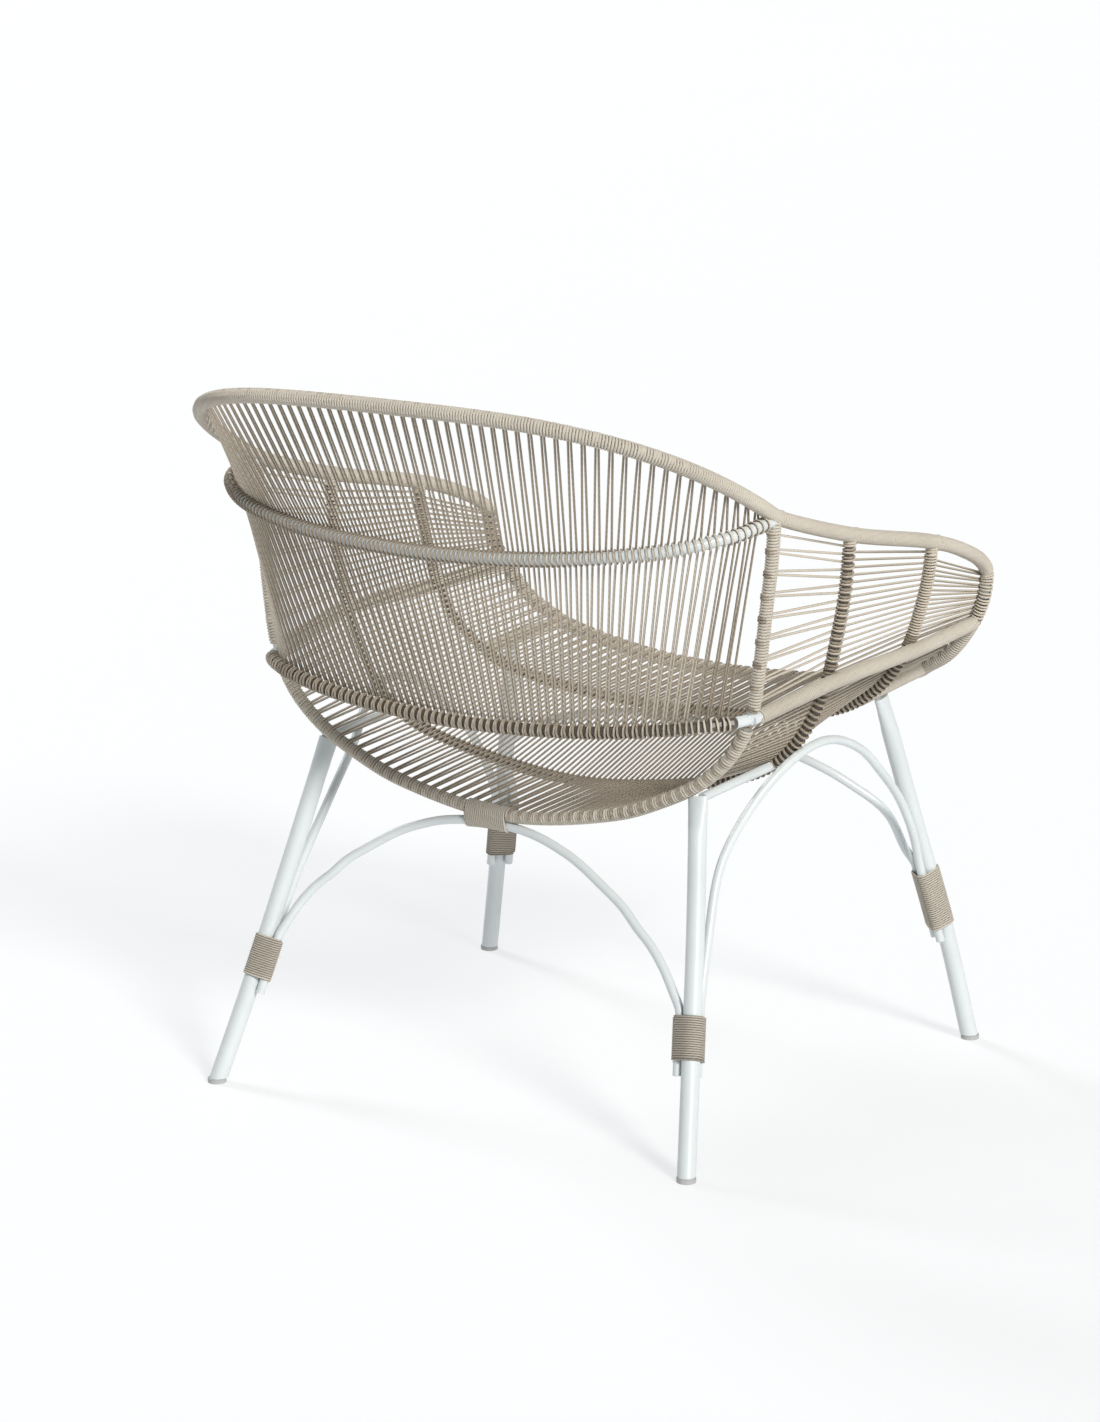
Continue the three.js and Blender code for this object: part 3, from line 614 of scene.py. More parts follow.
class Desk:
    """The node tree of one finish, laid out left to right as it is built."""

    def __init__(self, name: str) -> None:
        """Start a material whose principled shader is ready to be fed."""
        self.material = bpy.data.materials.new(name)
        self.material.use_nodes = True
        self.tree = self.material.node_tree
        self.shader = next(n for n in self.tree.nodes if n.bl_idname == "ShaderNodeBsdfPrincipled")
        self.count = 0

    def node(
        self,
        kind: str,
        settings: dict[str, object],
        inputs: dict[str | int, object],
        output: str | int = 0,
    ) -> Signal:
        """Add a node, set it and feed it.

        Args:
            kind: The node's type.
            settings: Its own properties.
            inputs: Values or signals for its sockets, by name or number.
            output: The socket to read.

        Returns:
            The signal of that socket.
        """
        made = self.tree.nodes.new(kind)
        made.location = (-220 * (1 + self.count % 9), -180 * (self.count // 9))
        self.count += 1
        for key, value in settings.items():
            setattr(made, key, value)
        for key, value in inputs.items():
            self.feed(made.inputs[key], value)
        return Signal(self, made.outputs[output])

    def feed(self, socket: bpy.types.NodeSocket, value: object) -> None:
        """Link a signal to a socket, or set the socket to a constant."""
        if isinstance(value, Signal):
            self.tree.links.new(value.socket, socket)
        elif isinstance(value, tuple) and len(value) == 3 and socket.type == "RGBA":
            socket.default_value = (*value, 1.0)
        else:
            socket.default_value = value

    def coordinates(self, output: str = "Object") -> Signal:
        """Return the piece's own coordinates, or its UV map's."""
        return self.node("ShaderNodeTexCoord", {}, {}, output)

    def noise(self, vector: Signal, scale: float, detail: float, roughness: float) -> Signal:
        """Return noise of a number of cells to the metre."""
        inputs = {"Vector": vector, "Scale": scale, "Detail": detail, "Roughness": roughness}
        return self.node("ShaderNodeTexNoise", {}, inputs)

    def mix(self, share: Signal | float, low: object, high: object) -> Signal:
        """Return a colour between two by a share."""
        return self.node("ShaderNodeMix", {"data_type": "RGBA"}, {0: share, 6: low, 7: high}, 2)

    def bump(self, height: Signal, strength: float, distance: float) -> None:
        """Raise the shader's surface by a height."""
        inputs = {"Height": height, "Strength": strength, "Distance": distance}
        self.feed(self.shader.inputs["Normal"], self.node("ShaderNodeBump", {}, inputs, "Normal"))

    def dress(self, **inputs: object) -> bpy.types.Material:
        """Feed the shader's sockets, named with underscores for spaces, and return the material."""
        for key, value in inputs.items():
            self.feed(self.shader.inputs[key.replace("_", " ")], value)
        return self.material


Colour = tuple[float, float, float]


@dataclass(frozen=True)
class CordFinish:
    """Matt round cord of twisted yarn, whose lay follows its length."""

    name: str
    lit: Colour
    shaded: Colour
    # The next colour and the depth are painted shade: how dark each cord's inner side is painted and how
    # much of it
    painted_shade: Colour
    depth: float
    lay: float = 0.007
    strands: float = 3.0

    def build(self) -> bpy.types.Material:
        """Return the material, read from the cord's UV map in metres and turns."""
        desk = Desk(self.name)
        place = desk.coordinates()
        along = desk.node("ShaderNodeSeparateXYZ", {}, {"Vector": desk.coordinates("UV")}, "X")
        turn = Signal(desk, along.socket.node.outputs["Y"])
        strand = ((along * (TURN / self.lay)) + turn * (TURN * self.strands)).wave()
        groove = (strand * 0.5 + 0.5) ** 0.6
        yarn = desk.noise(place, scale=900.0, detail=4.0, roughness=0.6)
        drift = desk.noise(place, scale=7.0, detail=3.0, roughness=0.55)
        hue = desk.mix(drift.between(0.3, 0.7), self.shaded, self.lit)
        # Painted shade: each cord darkens towards the painted shade colour on the side half a turn from its
        # UV seam, which on wound cords faces the tube; worn holds this shade, not wear
        inner = (turn * TURN + math.pi / 2).wave().between(0.55, -0.6) ** 1.3
        worn = desk.mix(inner * self.depth, hue, self.painted_shade)
        # Painted shade in the grooves between the lay's strands, together with random yarn speckle, mixed
        # towards a darker tone
        dark = tuple(0.72 * c for c in self.shaded)
        colour = desk.mix((1 - groove) * 0.4 + yarn.between(0.35, 0.75) * 0.15, worn, dark)
        desk.bump(groove + yarn * 0.35, strength=0.5, distance=0.0004)
        rough = yarn.between(0.2, 0.9) * 0.22 + 0.6
        return desk.dress(Base_Color=colour, Roughness=rough, Specular_IOR_Level=0.32)


@dataclass(frozen=True)
class PaintFinish:
    """Powder coat on steel, with fine orange peel, faint clouding and rubbed spots."""

    name: str
    body: Colour
    rubbed: Colour

    def build(self) -> bpy.types.Material:
        """Return the material."""
        desk = Desk(self.name)
        place = desk.coordinates()
        cloud = desk.noise(place, scale=9.0, detail=4.0, roughness=0.55)
        peel = desk.noise(place, scale=1400.0, detail=2.0, roughness=0.5)
        scuff = desk.noise(place, scale=60.0, detail=6.0, roughness=0.75).between(0.63, 0.72)
        dust = tuple(0.9 * c for c in self.body)
        clouded = desk.mix(cloud.between(0.3, 0.7), self.body, dust)
        colour = desk.mix(scuff * 0.5, clouded, self.rubbed)
        desk.bump(peel, strength=0.12, distance=0.0002)
        return desk.dress(
            Base_Color=colour,
            Roughness=cloud.between(0.25, 0.8) * 0.14 + scuff * 0.1 + 0.32,
            Specular_IOR_Level=0.5,
            Coat_Weight=0.15,
            Coat_Roughness=0.25,
        )


@dataclass(frozen=True)
class GlideFinish:
    """Moulded plastic of the feet, scuffed where it slides."""

    name: str
    body: Colour
    scuffed: Colour

    def build(self) -> bpy.types.Material:
        """Return the material."""
        desk = Desk(self.name)
        place = desk.coordinates()
        grain = desk.noise(place, scale=1100.0, detail=3.0, roughness=0.6)
        scuff = desk.noise(place, scale=160.0, detail=5.0, roughness=0.7).between(0.5, 0.7)
        height = desk.node("ShaderNodeSeparateXYZ", {}, {"Vector": place}, "Z")
        low = 1 - height.between(0.0, 0.004)
        colour = desk.mix(scuff * 0.35 + low * 0.4, self.body, self.scuffed)
        desk.bump(grain, strength=0.2, distance=0.0002)
        return desk.dress(Base_Color=colour, Roughness=scuff * 0.2 + 0.5)


@dataclass(frozen=True)
class FloorFinish:
    """Plain pale studio floor."""

    name: str
    body: Colour
    glow: float

    def build(self) -> bpy.types.Material:
        """Return the material."""
        desk = Desk(self.name)
        cloud = desk.noise(desk.coordinates(), scale=0.8, detail=2.0, roughness=0.5)
        shade = tuple(0.985 * c for c in self.body)
        return desk.dress(
            Base_Color=desk.mix(cloud, self.body, shade),
            Roughness=0.75,
            Specular_IOR_Level=0.2,
            Emission_Color=self.body,
            Emission_Strength=self.glow,
        )


@dataclass(frozen=True)
class Finishes:
    """The chair's materials."""

    steel: bpy.types.Material
    strings: bpy.types.Material
    sleeves: bpy.types.Material
    hollows: bpy.types.Material
    glides: bpy.types.Material

    @classmethod
    def mixed(cls) -> "Finishes":
        """Return all of them, built."""
        # Each row: two tones mixed at random, then the painted shade colour of each cord's inner side and
        # how much of it
        laid = (0.64, 0.58, 0.49), (0.5, 0.45, 0.37), (0.13, 0.095, 0.06), 0.8
        wound = (0.57, 0.53, 0.455), (0.47, 0.43, 0.365), (0.1, 0.08, 0.06), 0.9
        return cls(
            steel=PaintFinish("painted_steel", (0.6, 0.645, 0.655), (0.7, 0.72, 0.715)).build(),
            strings=CordFinish("string_cord", *laid).build(),
            sleeves=CordFinish("binding_cord", *wound).build(),
            # Near-black paint for the wound tubes, seen only between turns: painted shade
            hollows=PaintFinish("shadowed_steel", (0.085, 0.07, 0.055), (0.14, 0.12, 0.1)).build(),
            glides=GlideFinish("glide_plastic", (0.36, 0.365, 0.365), (0.5, 0.5, 0.49)).build(),
        )


# Cord


class Cordage:
    """Cords of one piece, gathered as round tubes whose UV map runs along each cord."""

    def __init__(self, name: str, sides: int = 6) -> None:
        """Start a piece with no cords yet.

        Args:
            name: The piece's name.
            sides: How many faces go round a cord.
        """
        self.name = name
        self.sides = sides
        self.points: list[Array] = []
        self.faces: list[Array] = []
        self.caps: list[Array] = []
        self.uvs: list[Array] = []
        self.total = 0

    def lay(self, paths: Array, radius: float, outward: Array | None = None) -> None:
        """Add cords of equal point counts.

        Args:
            paths: Points, as cords by points by three.
            radius: The cords' radius.
            outward: Directions across one cord at each point, or None to carry them along.
        """
        rows = paths if paths.ndim == 3 else paths[None]
        steps = np.linalg.norm(np.diff(rows, axis=1), axis=2)
        marks = np.concatenate([np.zeros((len(rows), 1)), np.cumsum(steps, axis=1)], axis=1)
        forward = unit(np.gradient(rows, axis=1))
        if outward is None:
            first = carried(forward)
        else:
            first = square_to(outward[None], forward)
        second = np.cross(forward, first)
        around = np.arange(self.sides)
        turn = around / self.sides * TURN
        ring = (
            rows[:, :, None]
            + radius * np.cos(turn)[None, None, :, None] * first[:, :, None]
            + radius * np.sin(turn)[None, None, :, None] * second[:, :, None]
        )
        count, length = rows.shape[:2]
        self.points.append(ring.reshape(-1, 3))
        cord, step, side = np.meshgrid(np.arange(count), np.arange(length - 1), around, indexing="ij")
        base = self.total + (cord * length + step) * self.sides
        a, b = base + side, base + (side + 1) % self.sides
        self.faces.append(np.stack([a, b, b + self.sides, a + self.sides], axis=-1).reshape(-1, 4))
        u0, u1 = marks[cord, step], marks[cord, step + 1]
        v0, v1 = side / self.sides, (side + 1) / self.sides
        self.uvs.append(np.stack([u0, v0, u0, v1, u1, v1, u1, v0], axis=-1).reshape(-1, 8))
        starts = self.total + np.arange(count) * length * self.sides
        self.caps.append(starts[:, None] + around[::-1])
        self.caps.append(starts[:, None] + (length - 1) * self.sides + around)
        self.total += count * length * self.sides

    def finish(self, material: bpy.types.Material, slot: str, *replaced: str) -> None:
        """Make the mesh, dress it and hang it on the frame.

        Args:
            material: The cord's finish.
            slot: The record's material slot.
            *replaced: The frame's nodes that the piece stands for.
        """
        points, quads, caps, uvs = map(np.vstack, (self.points, self.faces, self.caps, self.uvs))
        mesh = bpy.data.meshes.new(self.name)
        mesh.vertices.add(len(points))
        mesh.vertices.foreach_set("co", points.astype(np.float32).ravel())
        loops = np.concatenate([quads.ravel(), caps.ravel()])
        mesh.loops.add(len(loops))
        mesh.loops.foreach_set("vertex_index", loops.astype(np.int32))
        sizes = np.concatenate([np.full(len(quads), 4), np.full(len(caps), self.sides)])
        starts = np.concatenate([[0], np.cumsum(sizes)[:-1]])
        mesh.polygons.add(len(sizes))
        mesh.polygons.foreach_set("loop_start", starts.astype(np.int32))
        mesh.polygons.foreach_set("loop_total", sizes.astype(np.int32))
        mesh.update(calc_edges=True)
        mesh.polygons.foreach_set("use_smooth", np.arange(len(sizes)) < len(quads))
        layer = mesh.uv_layers.new(name="cord")
        flat = np.concatenate([uvs.ravel(), np.zeros(caps.size * 2)])
        layer.data.foreach_set("uv", flat.astype(np.float32))
        mesh.validate()
        piece = bpy.data.objects.new(self.name, mesh)
        bpy.context.collection.objects.link(piece)
        mesh.materials.append(material)
        hang(piece, slot, *replaced)


def hang(piece: bpy.types.Object, slot: str, *replaced: str) -> None:
    """Let a piece ride on the frame and stand for nodes.

    Args:
        piece: The piece.
        slot: Not used.
        *replaced: The nodes that it replaces.
    """
    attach(piece, "root")
    if replaced:
        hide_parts(*replaced)
    triangles = sum(len(polygon.vertices) - 2 for polygon in piece.data.polygons)
    log.info("%s: %d triangles, for %s", piece.name, triangles, ", ".join(replaced) or "no node")


@dataclass(frozen=True)
class Coil:
    """Cord wound round a line, whose first and last turns sink in.

    The cord is its radius, the reach is its centre's distance from the line, the slack spreads the
    turns, the sink is a share of the cord and is lost again within the given turns from an end.
    """

    cord: float
    reach: float
    steps: int = 10
    slack: float = 1.02
    sink: float = 0.55
    sink_turns: float = 0.4

    def wind(
        self, line: Line, start: float, end: float, cordage: Cordage, pitch: float | None = None
    ) -> None:
        """Add the winding between two distances.

        Args:
            line: The line to wind round.
            start: Where the winding starts.
            end: Where it ends.
            cordage: The piece that takes the cord.
            pitch: The advance in a turn, or None for the cord's own width.
        """
        turns = abs(end - start) / (pitch or 2 * self.cord * self.slack)
        share = np.linspace(0, 1, max(round(turns * self.steps), 8) + 1)
        distance = start + (end - start) * share
        first, second = line.across(distance)
        ends = np.minimum(share, 1 - share) * turns
        sunk = self.sink * self.cord * (1 - np.clip(ends / self.sink_turns, 0, 1)) ** 2
        angle = (TURN * turns * share)[:, None]
        outward = np.cos(angle) * first + np.sin(angle) * second
        cordage.lay(line.at(distance) + (self.reach - sunk)[:, None] * outward, self.cord, outward)


# Supports and strings


@dataclass
class Support:
    """A tube that strings cross, wrap or end on.

    The focus gives the way from a point to the sitter. A tucked end turns on by an angle, while it
    goes from one share of the cord's radius over the winding to as much deeper as the depth says.
    """

    line: Line
    radius: float
    focus: Callable[[Array], Array]
    tuck_angle: float = 2.9
    tuck_start: float = 0.75
    tuck_depth: float = 1.2
    tuck_ease: float = 1.5

    def frame(self, distance: float, before: Array, after: Array) -> tuple[Array, Array, float, float]:
        """Work out how a string passes the tube.

        Args:
            distance: Where along the tube.
            before: The point that the string comes from.
            after: The point that it goes to.

        Returns:
            The ways to the sitter and past the tube, and the angles at which the string meets and
            leaves it.
        """
        point, tangent = self.line.at(distance)[0], self.line.along(distance)[0]
        come, go = square_to(point - before, tangent), square_to(after - point, tangent)
        past = unit(come + go)
        inner = np.cross(tangent, past)
        if inner @ self.focus(point) < 0:
            inner = -inner
        return inner, past, -math.asin(float(come @ inner)), -math.asin(float(go @ inner))

    def wrap(
        self, distance: float, before: Array, after: Array, cord: float, turns: int, pitch: float, count: int
    ) -> Array:
        """Take a string round the tube in whole turns and on.

        Args:
            distance: Where along the tube the wrap has its middle.
            before: The point that the string comes from.
            after: The point that it goes to.
            cord: The string's radius.
            turns: Whole turns round the tube.
            pitch: The advance in a turn.
            count: How many points the wrap has.

        Returns:
            The wrap's points.
        """
        inner, past, start, end = self.frame(distance, before, after)
        angle = np.linspace(start, end + turns * TURN, count)
        shift = np.linspace(-0.5, 0.5, count) * pitch * (angle[-1] - angle[0]) / TURN
        spot = self.line.at(distance + shift)
        reach = self.radius + cord
        return spot + reach * (np.cos(angle)[:, None] * inner + np.sin(angle)[:, None] * past)

    def tuck(self, distance: float, before: Array, cord: float, layer: float, count: int) -> Array:
        """End a string on a wound tube, where it runs into the winding.

        Args:
            distance: Where along the tube.
            before: The point that the string comes from.
            cord: The string's radius.
            layer: The reach of the winding's own cord.
            count: How many points the end has.

        Returns:
            The end's points, the last of them inside the winding.
        """
        point = self.line.at(distance)[0]
        inner, past, start, _ = self.frame(distance, before, 2 * point - before)
        angle = np.linspace(start, start + self.tuck_angle, count)
        share = np.linspace(0, 1, count)
        reach = layer + cord * (self.tuck_start - self.tuck_depth * share**self.tuck_ease)
        return point + reach[:, None] * (np.cos(angle)[:, None] * inner + np.sin(angle)[:, None] * past)


def stations(start: float, middle: float, end: float, shares: Array) -> Array:
    """Spread strings between three marks of a support.

    Args:
        start: The first mark, at share 0.
        middle: The mark at share 1.
        end: The last mark, at share 2.
        shares: The strings' shares.

    Returns:
        Their distances along the support.
    """
    return np.interp(shares, [0.0, 1.0, 2.0], [start, middle, end])


def paired(distances: Array, first: int, apart: float) -> Array:
    """Draw neighbours together in pairs.

    Args:
        distances: Stations.
        first: 0 if the first two make a pair, or 1 if the first stands alone.
        apart: How far apart the two of a pair stay, at most.

    Returns:
        The paired stations.
    """
    moved = distances.copy()
    for i in range(first, len(distances) - 1, 2):
        middle = (distances[i] + distances[i + 1]) / 2
        half = min(apart, distances[i + 1] - distances[i]) / 2
        moved[i : i + 2] = middle - half, middle + half
    return moved


def joined(runs: Sequence[Array]) -> Array:
    """Join the stretches of a string by straight runs of three points."""
    laid = [runs[0]]
    for before, after in zip(runs, runs[1:]):
        laid += [np.linspace(before[-1], after[0], 5)[1:-1], after]
    return np.vstack(laid)


def crowded(count: int, share: float) -> Array:
    """Spread strings on a row so that they stand closer in its middle than at its ends.

    Args:
        count: How many strings there are.
        share: How much closer.

    Returns:
        Their places from 0 to 1.
    """
    table = np.linspace(0.0, 1.0, 400)
    filled = table + share * (1 - np.cos(math.pi * table)) / math.pi
    return np.interp((np.arange(count) + 0.5) / count, filled / filled[-1], table)


# Steel


class Bench:
    """Modelling by hand: the operators' small habits in one place."""

    @staticmethod
    def clear() -> None:
        """Leave object mode with nothing selected."""
        if bpy.context.mode != "OBJECT":
            bpy.ops.object.mode_set(mode="OBJECT")
        bpy.ops.object.select_all(action="DESELECT")

    @staticmethod
    def pick(piece: bpy.types.Object, chosen: Array) -> None:
        """Select vertices of a piece and enter edit mode.

        Args:
            piece: The piece.
            chosen: Whether each vertex is selected.
        """
        mesh = piece.data
        mesh.polygons.foreach_set("select", np.zeros(len(mesh.polygons), bool))
        mesh.edges.foreach_set("select", np.zeros(len(mesh.edges), bool))
        mesh.vertices.foreach_set("select", chosen)
        bpy.ops.object.mode_set(mode="EDIT")
        bpy.ops.mesh.select_mode(type="VERT")

    @staticmethod
    def vertices(piece: bpy.types.Object) -> Array:
        """Return a piece's vertices as rows."""
        rows = np.zeros(len(piece.data.vertices) * 3)
        piece.data.vertices.foreach_get("co", rows)
        return rows.reshape(-1, 3)

    @classmethod
    def tube(
        cls, name: str, line: Line, diameter: float, steps: int, resolution: int = 7
    ) -> bpy.types.Object:
        """Bend a round tube along a line, as a curve with thickness turned into a mesh.

        Args:
            name: The piece's name.
            line: The tube's centre line.
            diameter: Its diameter in metres.
            steps: How many stretches the bend has.
            resolution: How finely its section is rounded.

        Returns:
            The tube, closed at both ends.
        """
        cls.clear()
        bpy.ops.curve.primitive_nurbs_path_add(location=(0, 0, 0))
        curve = bpy.context.object
        curve.name = name
        data = curve.data
        data.dimensions = "3D"
        data.splines.clear()
        spline = data.splines.new("POLY")
        points = line.at(np.linspace(0, line.length, steps + 1))
        spline.points.add(len(points) - 1)
        spline.points.foreach_set("co", np.column_stack([points, np.ones(len(points))]).ravel())
        data.bevel_depth = diameter / 2
        data.bevel_resolution = resolution
        data.use_fill_caps = True
        bpy.ops.object.convert(target="MESH")
        tube = bpy.context.object
        tube.name = name
        bpy.ops.object.mode_set(mode="EDIT")
        bpy.ops.mesh.select_all(action="SELECT")
        bpy.ops.mesh.remove_doubles(threshold=1e-6)
        bpy.ops.mesh.normals_make_consistent(inside=False)
        bpy.ops.object.mode_set(mode="OBJECT")
        return tube

    @classmethod
    def squeeze(cls, piece: bpy.types.Object, line: Line, thin: Array, run: float, share: float) -> None:
        """Flatten a tube towards the end of its line, thin one way and wider the other.

        Args:
            piece: The tube.
            line: Its centre line.
            thin: The direction that is pressed together.
            run: How long the flattened stretch is.
            share: How much of its thickness stays at the end.
        """
        top, axis = line.points[-1], line.directions[-1]
        flat = square_to(thin, axis)
        wide = np.cross(axis, flat)
        turn = Matrix((tuple(flat), tuple(wide), tuple(axis))).transposed()
        margin, apart = 0.002, 2e-4
        height = (cls.vertices(piece) - top) @ axis
        levels = np.unique(np.round(height[height > -run - margin], 4))
        for level in levels:
            near = np.abs((cls.vertices(piece) - top) @ axis - level) < apart
            press = min(max(1 + level / run, 0.0), 1.0)
            press = press * press * (3 - 2 * press)
            if press <= 0 or not near.any():
                continue
            cls.pick(piece, near)
            bpy.ops.transform.resize(
                value=(1 - press * (1 - share), 1 + press * (1 - share) / 2, 1),
                orient_matrix=turn,
                orient_matrix_type="GLOBAL",
                orient_type="GLOBAL",
                center_override=tuple(top + axis * level),
            )
            bpy.ops.object.mode_set(mode="OBJECT")

    @classmethod
    def polish(cls, piece: bpy.types.Object, material: bpy.types.Material) -> None:
        """Shade a piece smooth but for its sharp edges, and dress it."""
        cls.clear()
        piece.select_set(True)
        bpy.context.view_layer.objects.active = piece
        crease = math.radians(35)
        bpy.ops.object.shade_smooth_by_angle(angle=crease)
        piece.data.materials.clear()
        piece.data.materials.append(material)


@dataclass
class SteelFrame:
    """The tubes and rods: back rails, side rails, struts, legs and arches.

    Lengths are in metres, but for the millimetres that a bare rail end is thicker than its node.
    The steps are the stretches of each bend.
    """

    skeleton: Skeleton
    steel: bpy.types.Material
    hollows: bpy.types.Material
    pinch_run: float = 0.045
    pinch_share: float = 0.6
    foot_cut: float = 0.0053
    bare_start: float = 0.001
    bare_end: float = 0.02
    bare_proud: float = 0.2
    foot_run: float = 0.012
    back_steps: int = 72
    side_steps: int = 48
    end_steps: int = 10
    strut_steps: int = 4
    cross_arch_steps: int = 120
    side_arch_steps: int = 110
    leg_steps: int = 56

    def _bar(self, name: str, line: Line, diameter: float, steps: int, *nodes: str) -> None:
        """Bend one bar, dress it and hang it on the frame.

        Args:
            name: The bar's name.
            line: Its centre line.
            diameter: Its diameter in millimetres.
            steps: How many stretches the bend has.
            *nodes: The frame's nodes that it stands for.
        """
        self._done(Bench.tube(name, line, diameter * MM, steps), *nodes)

    def _done(self, bar: bpy.types.Object, *nodes: str) -> None:
        """Dress a bar and hang it on the frame."""
        Bench.polish(bar, self.steel)
        hang(bar, "steel", *nodes)

    def build(self) -> None:
        """Make every bar and dress the nodes that stay."""
        bones = self.skeleton
        self._bar("mid_rail_tube", bones.rails["mid"], bones.back_tube, self.back_steps, "back_mid_rail")
        for side in Side:
            self._side(side)
        for end in End:
            name = f"{end.value}_arch"
            self._bar(f"{name}_rod", bones.arches[end], bones.rod, self.cross_arch_steps, name)
        finishes = {
            self.steel: ("top_rail", "rear_hoop"),
            # The wound tubes take the near-black steel: painted shade in the gaps between their turns
            self.hollows: ("front_bow", "middle_hoop", "fore_hoop", "back_low_rail"),
        }
        for material, names in finishes.items():
            for name in names:
                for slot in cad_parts[name].material_slots:
                    slot.material = material

    def _side(self, side: Side) -> None:
        """Make one side's rail, struts, legs and arch."""
        bones, label = self.skeleton, side.label
        rail, arch = bones.side_rail.mirrored(side), bones.side_arch.mirrored(side)
        self._bar(f"side_rail_tube_{label}", rail, bones.side_tube, self.side_steps, f"side_rail_{label}")
        low = bones.rails["low"].mirrored(Side.RIGHT if side is Side.LEFT else Side.LEFT)
        bare = low.part(self.bare_start, self.bare_end, count=12)
        self._bar(f"low_rail_end_{label}", bare, bones.back_tube + self.bare_proud, self.end_steps)
        for name, strut in bones.struts.items():
            rod = strut.mirrored(side)
            node = f"{name}_strut_{label}"
            self._bar(f"{name}_strut_rod_{label}", rod, bones.rod, self.strut_steps, node)
        self._bar(f"side_arch_rod_{label}", arch, bones.rod, self.side_arch_steps, f"side_arch_{label}")
        for end in End:
            self._leg(end, side)

    def _leg(self, end: End, side: Side) -> None:
        """Make a leg, cut level above its glide and pinched at its top."""
        bones = self.skeleton
        line = bones.legs[end].mirrored(side)
        foot = line.points[0] - line.directions[0] * self.foot_run
        longer = Line(np.vstack([foot, line.points[1:]]))
        name = f"{end.value}_leg_tube_{side.label}"
        leg = Bench.tube(name, longer, bones.leg_tube * MM, self.leg_steps, resolution=10)
        thin = np.array([0.0, -1.0, 0.0]) if end is End.REAR else np.array([1.0, 0.0, 0.0])
        Bench.squeeze(leg, line, thin, self.pinch_run, self.pinch_share)
        bpy.ops.object.mode_set(mode="EDIT")
        bpy.ops.mesh.select_all(action="SELECT")
        level = {"plane_co": (0, 0, self.foot_cut), "plane_no": (0, 0, 1)}
        bpy.ops.mesh.bisect(**level, use_fill=True, clear_inner=True, threshold=1e-5)
        bpy.ops.object.mode_set(mode="OBJECT")
        self._done(leg, f"{end.value}_leg_{side.label}")


@dataclass
class Glides:
    """The moulded feet under the legs."""

    skeleton: Skeleton
    plastic: bpy.types.Material
    diameter: float = 0.021
    height: float = 0.005
    lip: float = 0.0012
    lip_rise: float = 0.0004
    worn: float = 0.0009

    def build(self) -> None:
        """Make the four glides."""
        for end in End:
            for side in Side:
                foot = self.skeleton.legs[end].mirrored(side).points[0]
                self._glide(f"{end.value}_glide_cup_{side.label}", foot, f"{end.value}_glide_{side.label}")

    def _glide(self, name: str, foot: Array, node: str) -> None:
        """Turn one glide: a low cup with a rounded sole and a lip round the tube."""
        Bench.clear()
        place = (foot[0], foot[1], self.height / 2)
        bpy.ops.mesh.primitive_cylinder_add(
            vertices=32, radius=self.diameter / 2, depth=self.height, location=place
        )
        cup = bpy.context.object
        cup.name = name
        bpy.ops.object.transform_apply(location=True, rotation=True, scale=True)
        bpy.ops.object.mode_set(mode="EDIT")
        bpy.ops.mesh.select_mode(type="FACE")
        bpy.ops.mesh.select_all(action="DESELECT")
        bpy.ops.object.mode_set(mode="OBJECT")
        for face in cup.data.polygons:
            face.select = face.normal.z > 0.9
        bpy.ops.object.mode_set(mode="EDIT")
        bpy.ops.mesh.inset(thickness=self.lip)
        bpy.ops.mesh.extrude_region_move(TRANSFORM_OT_translate={"value": (0, 0, self.lip_rise)})
        bpy.ops.object.mode_set(mode="OBJECT")
        bevel = cup.modifiers.new("worn_edge", "BEVEL")
        bevel.width = self.worn
        bevel.segments = 3
        bevel.limit_method = "ANGLE"
        bpy.ops.object.modifier_apply(modifier=bevel.name)
        Bench.polish(cup, self.plastic)
        hang(cup, "glide", node)


# Windings


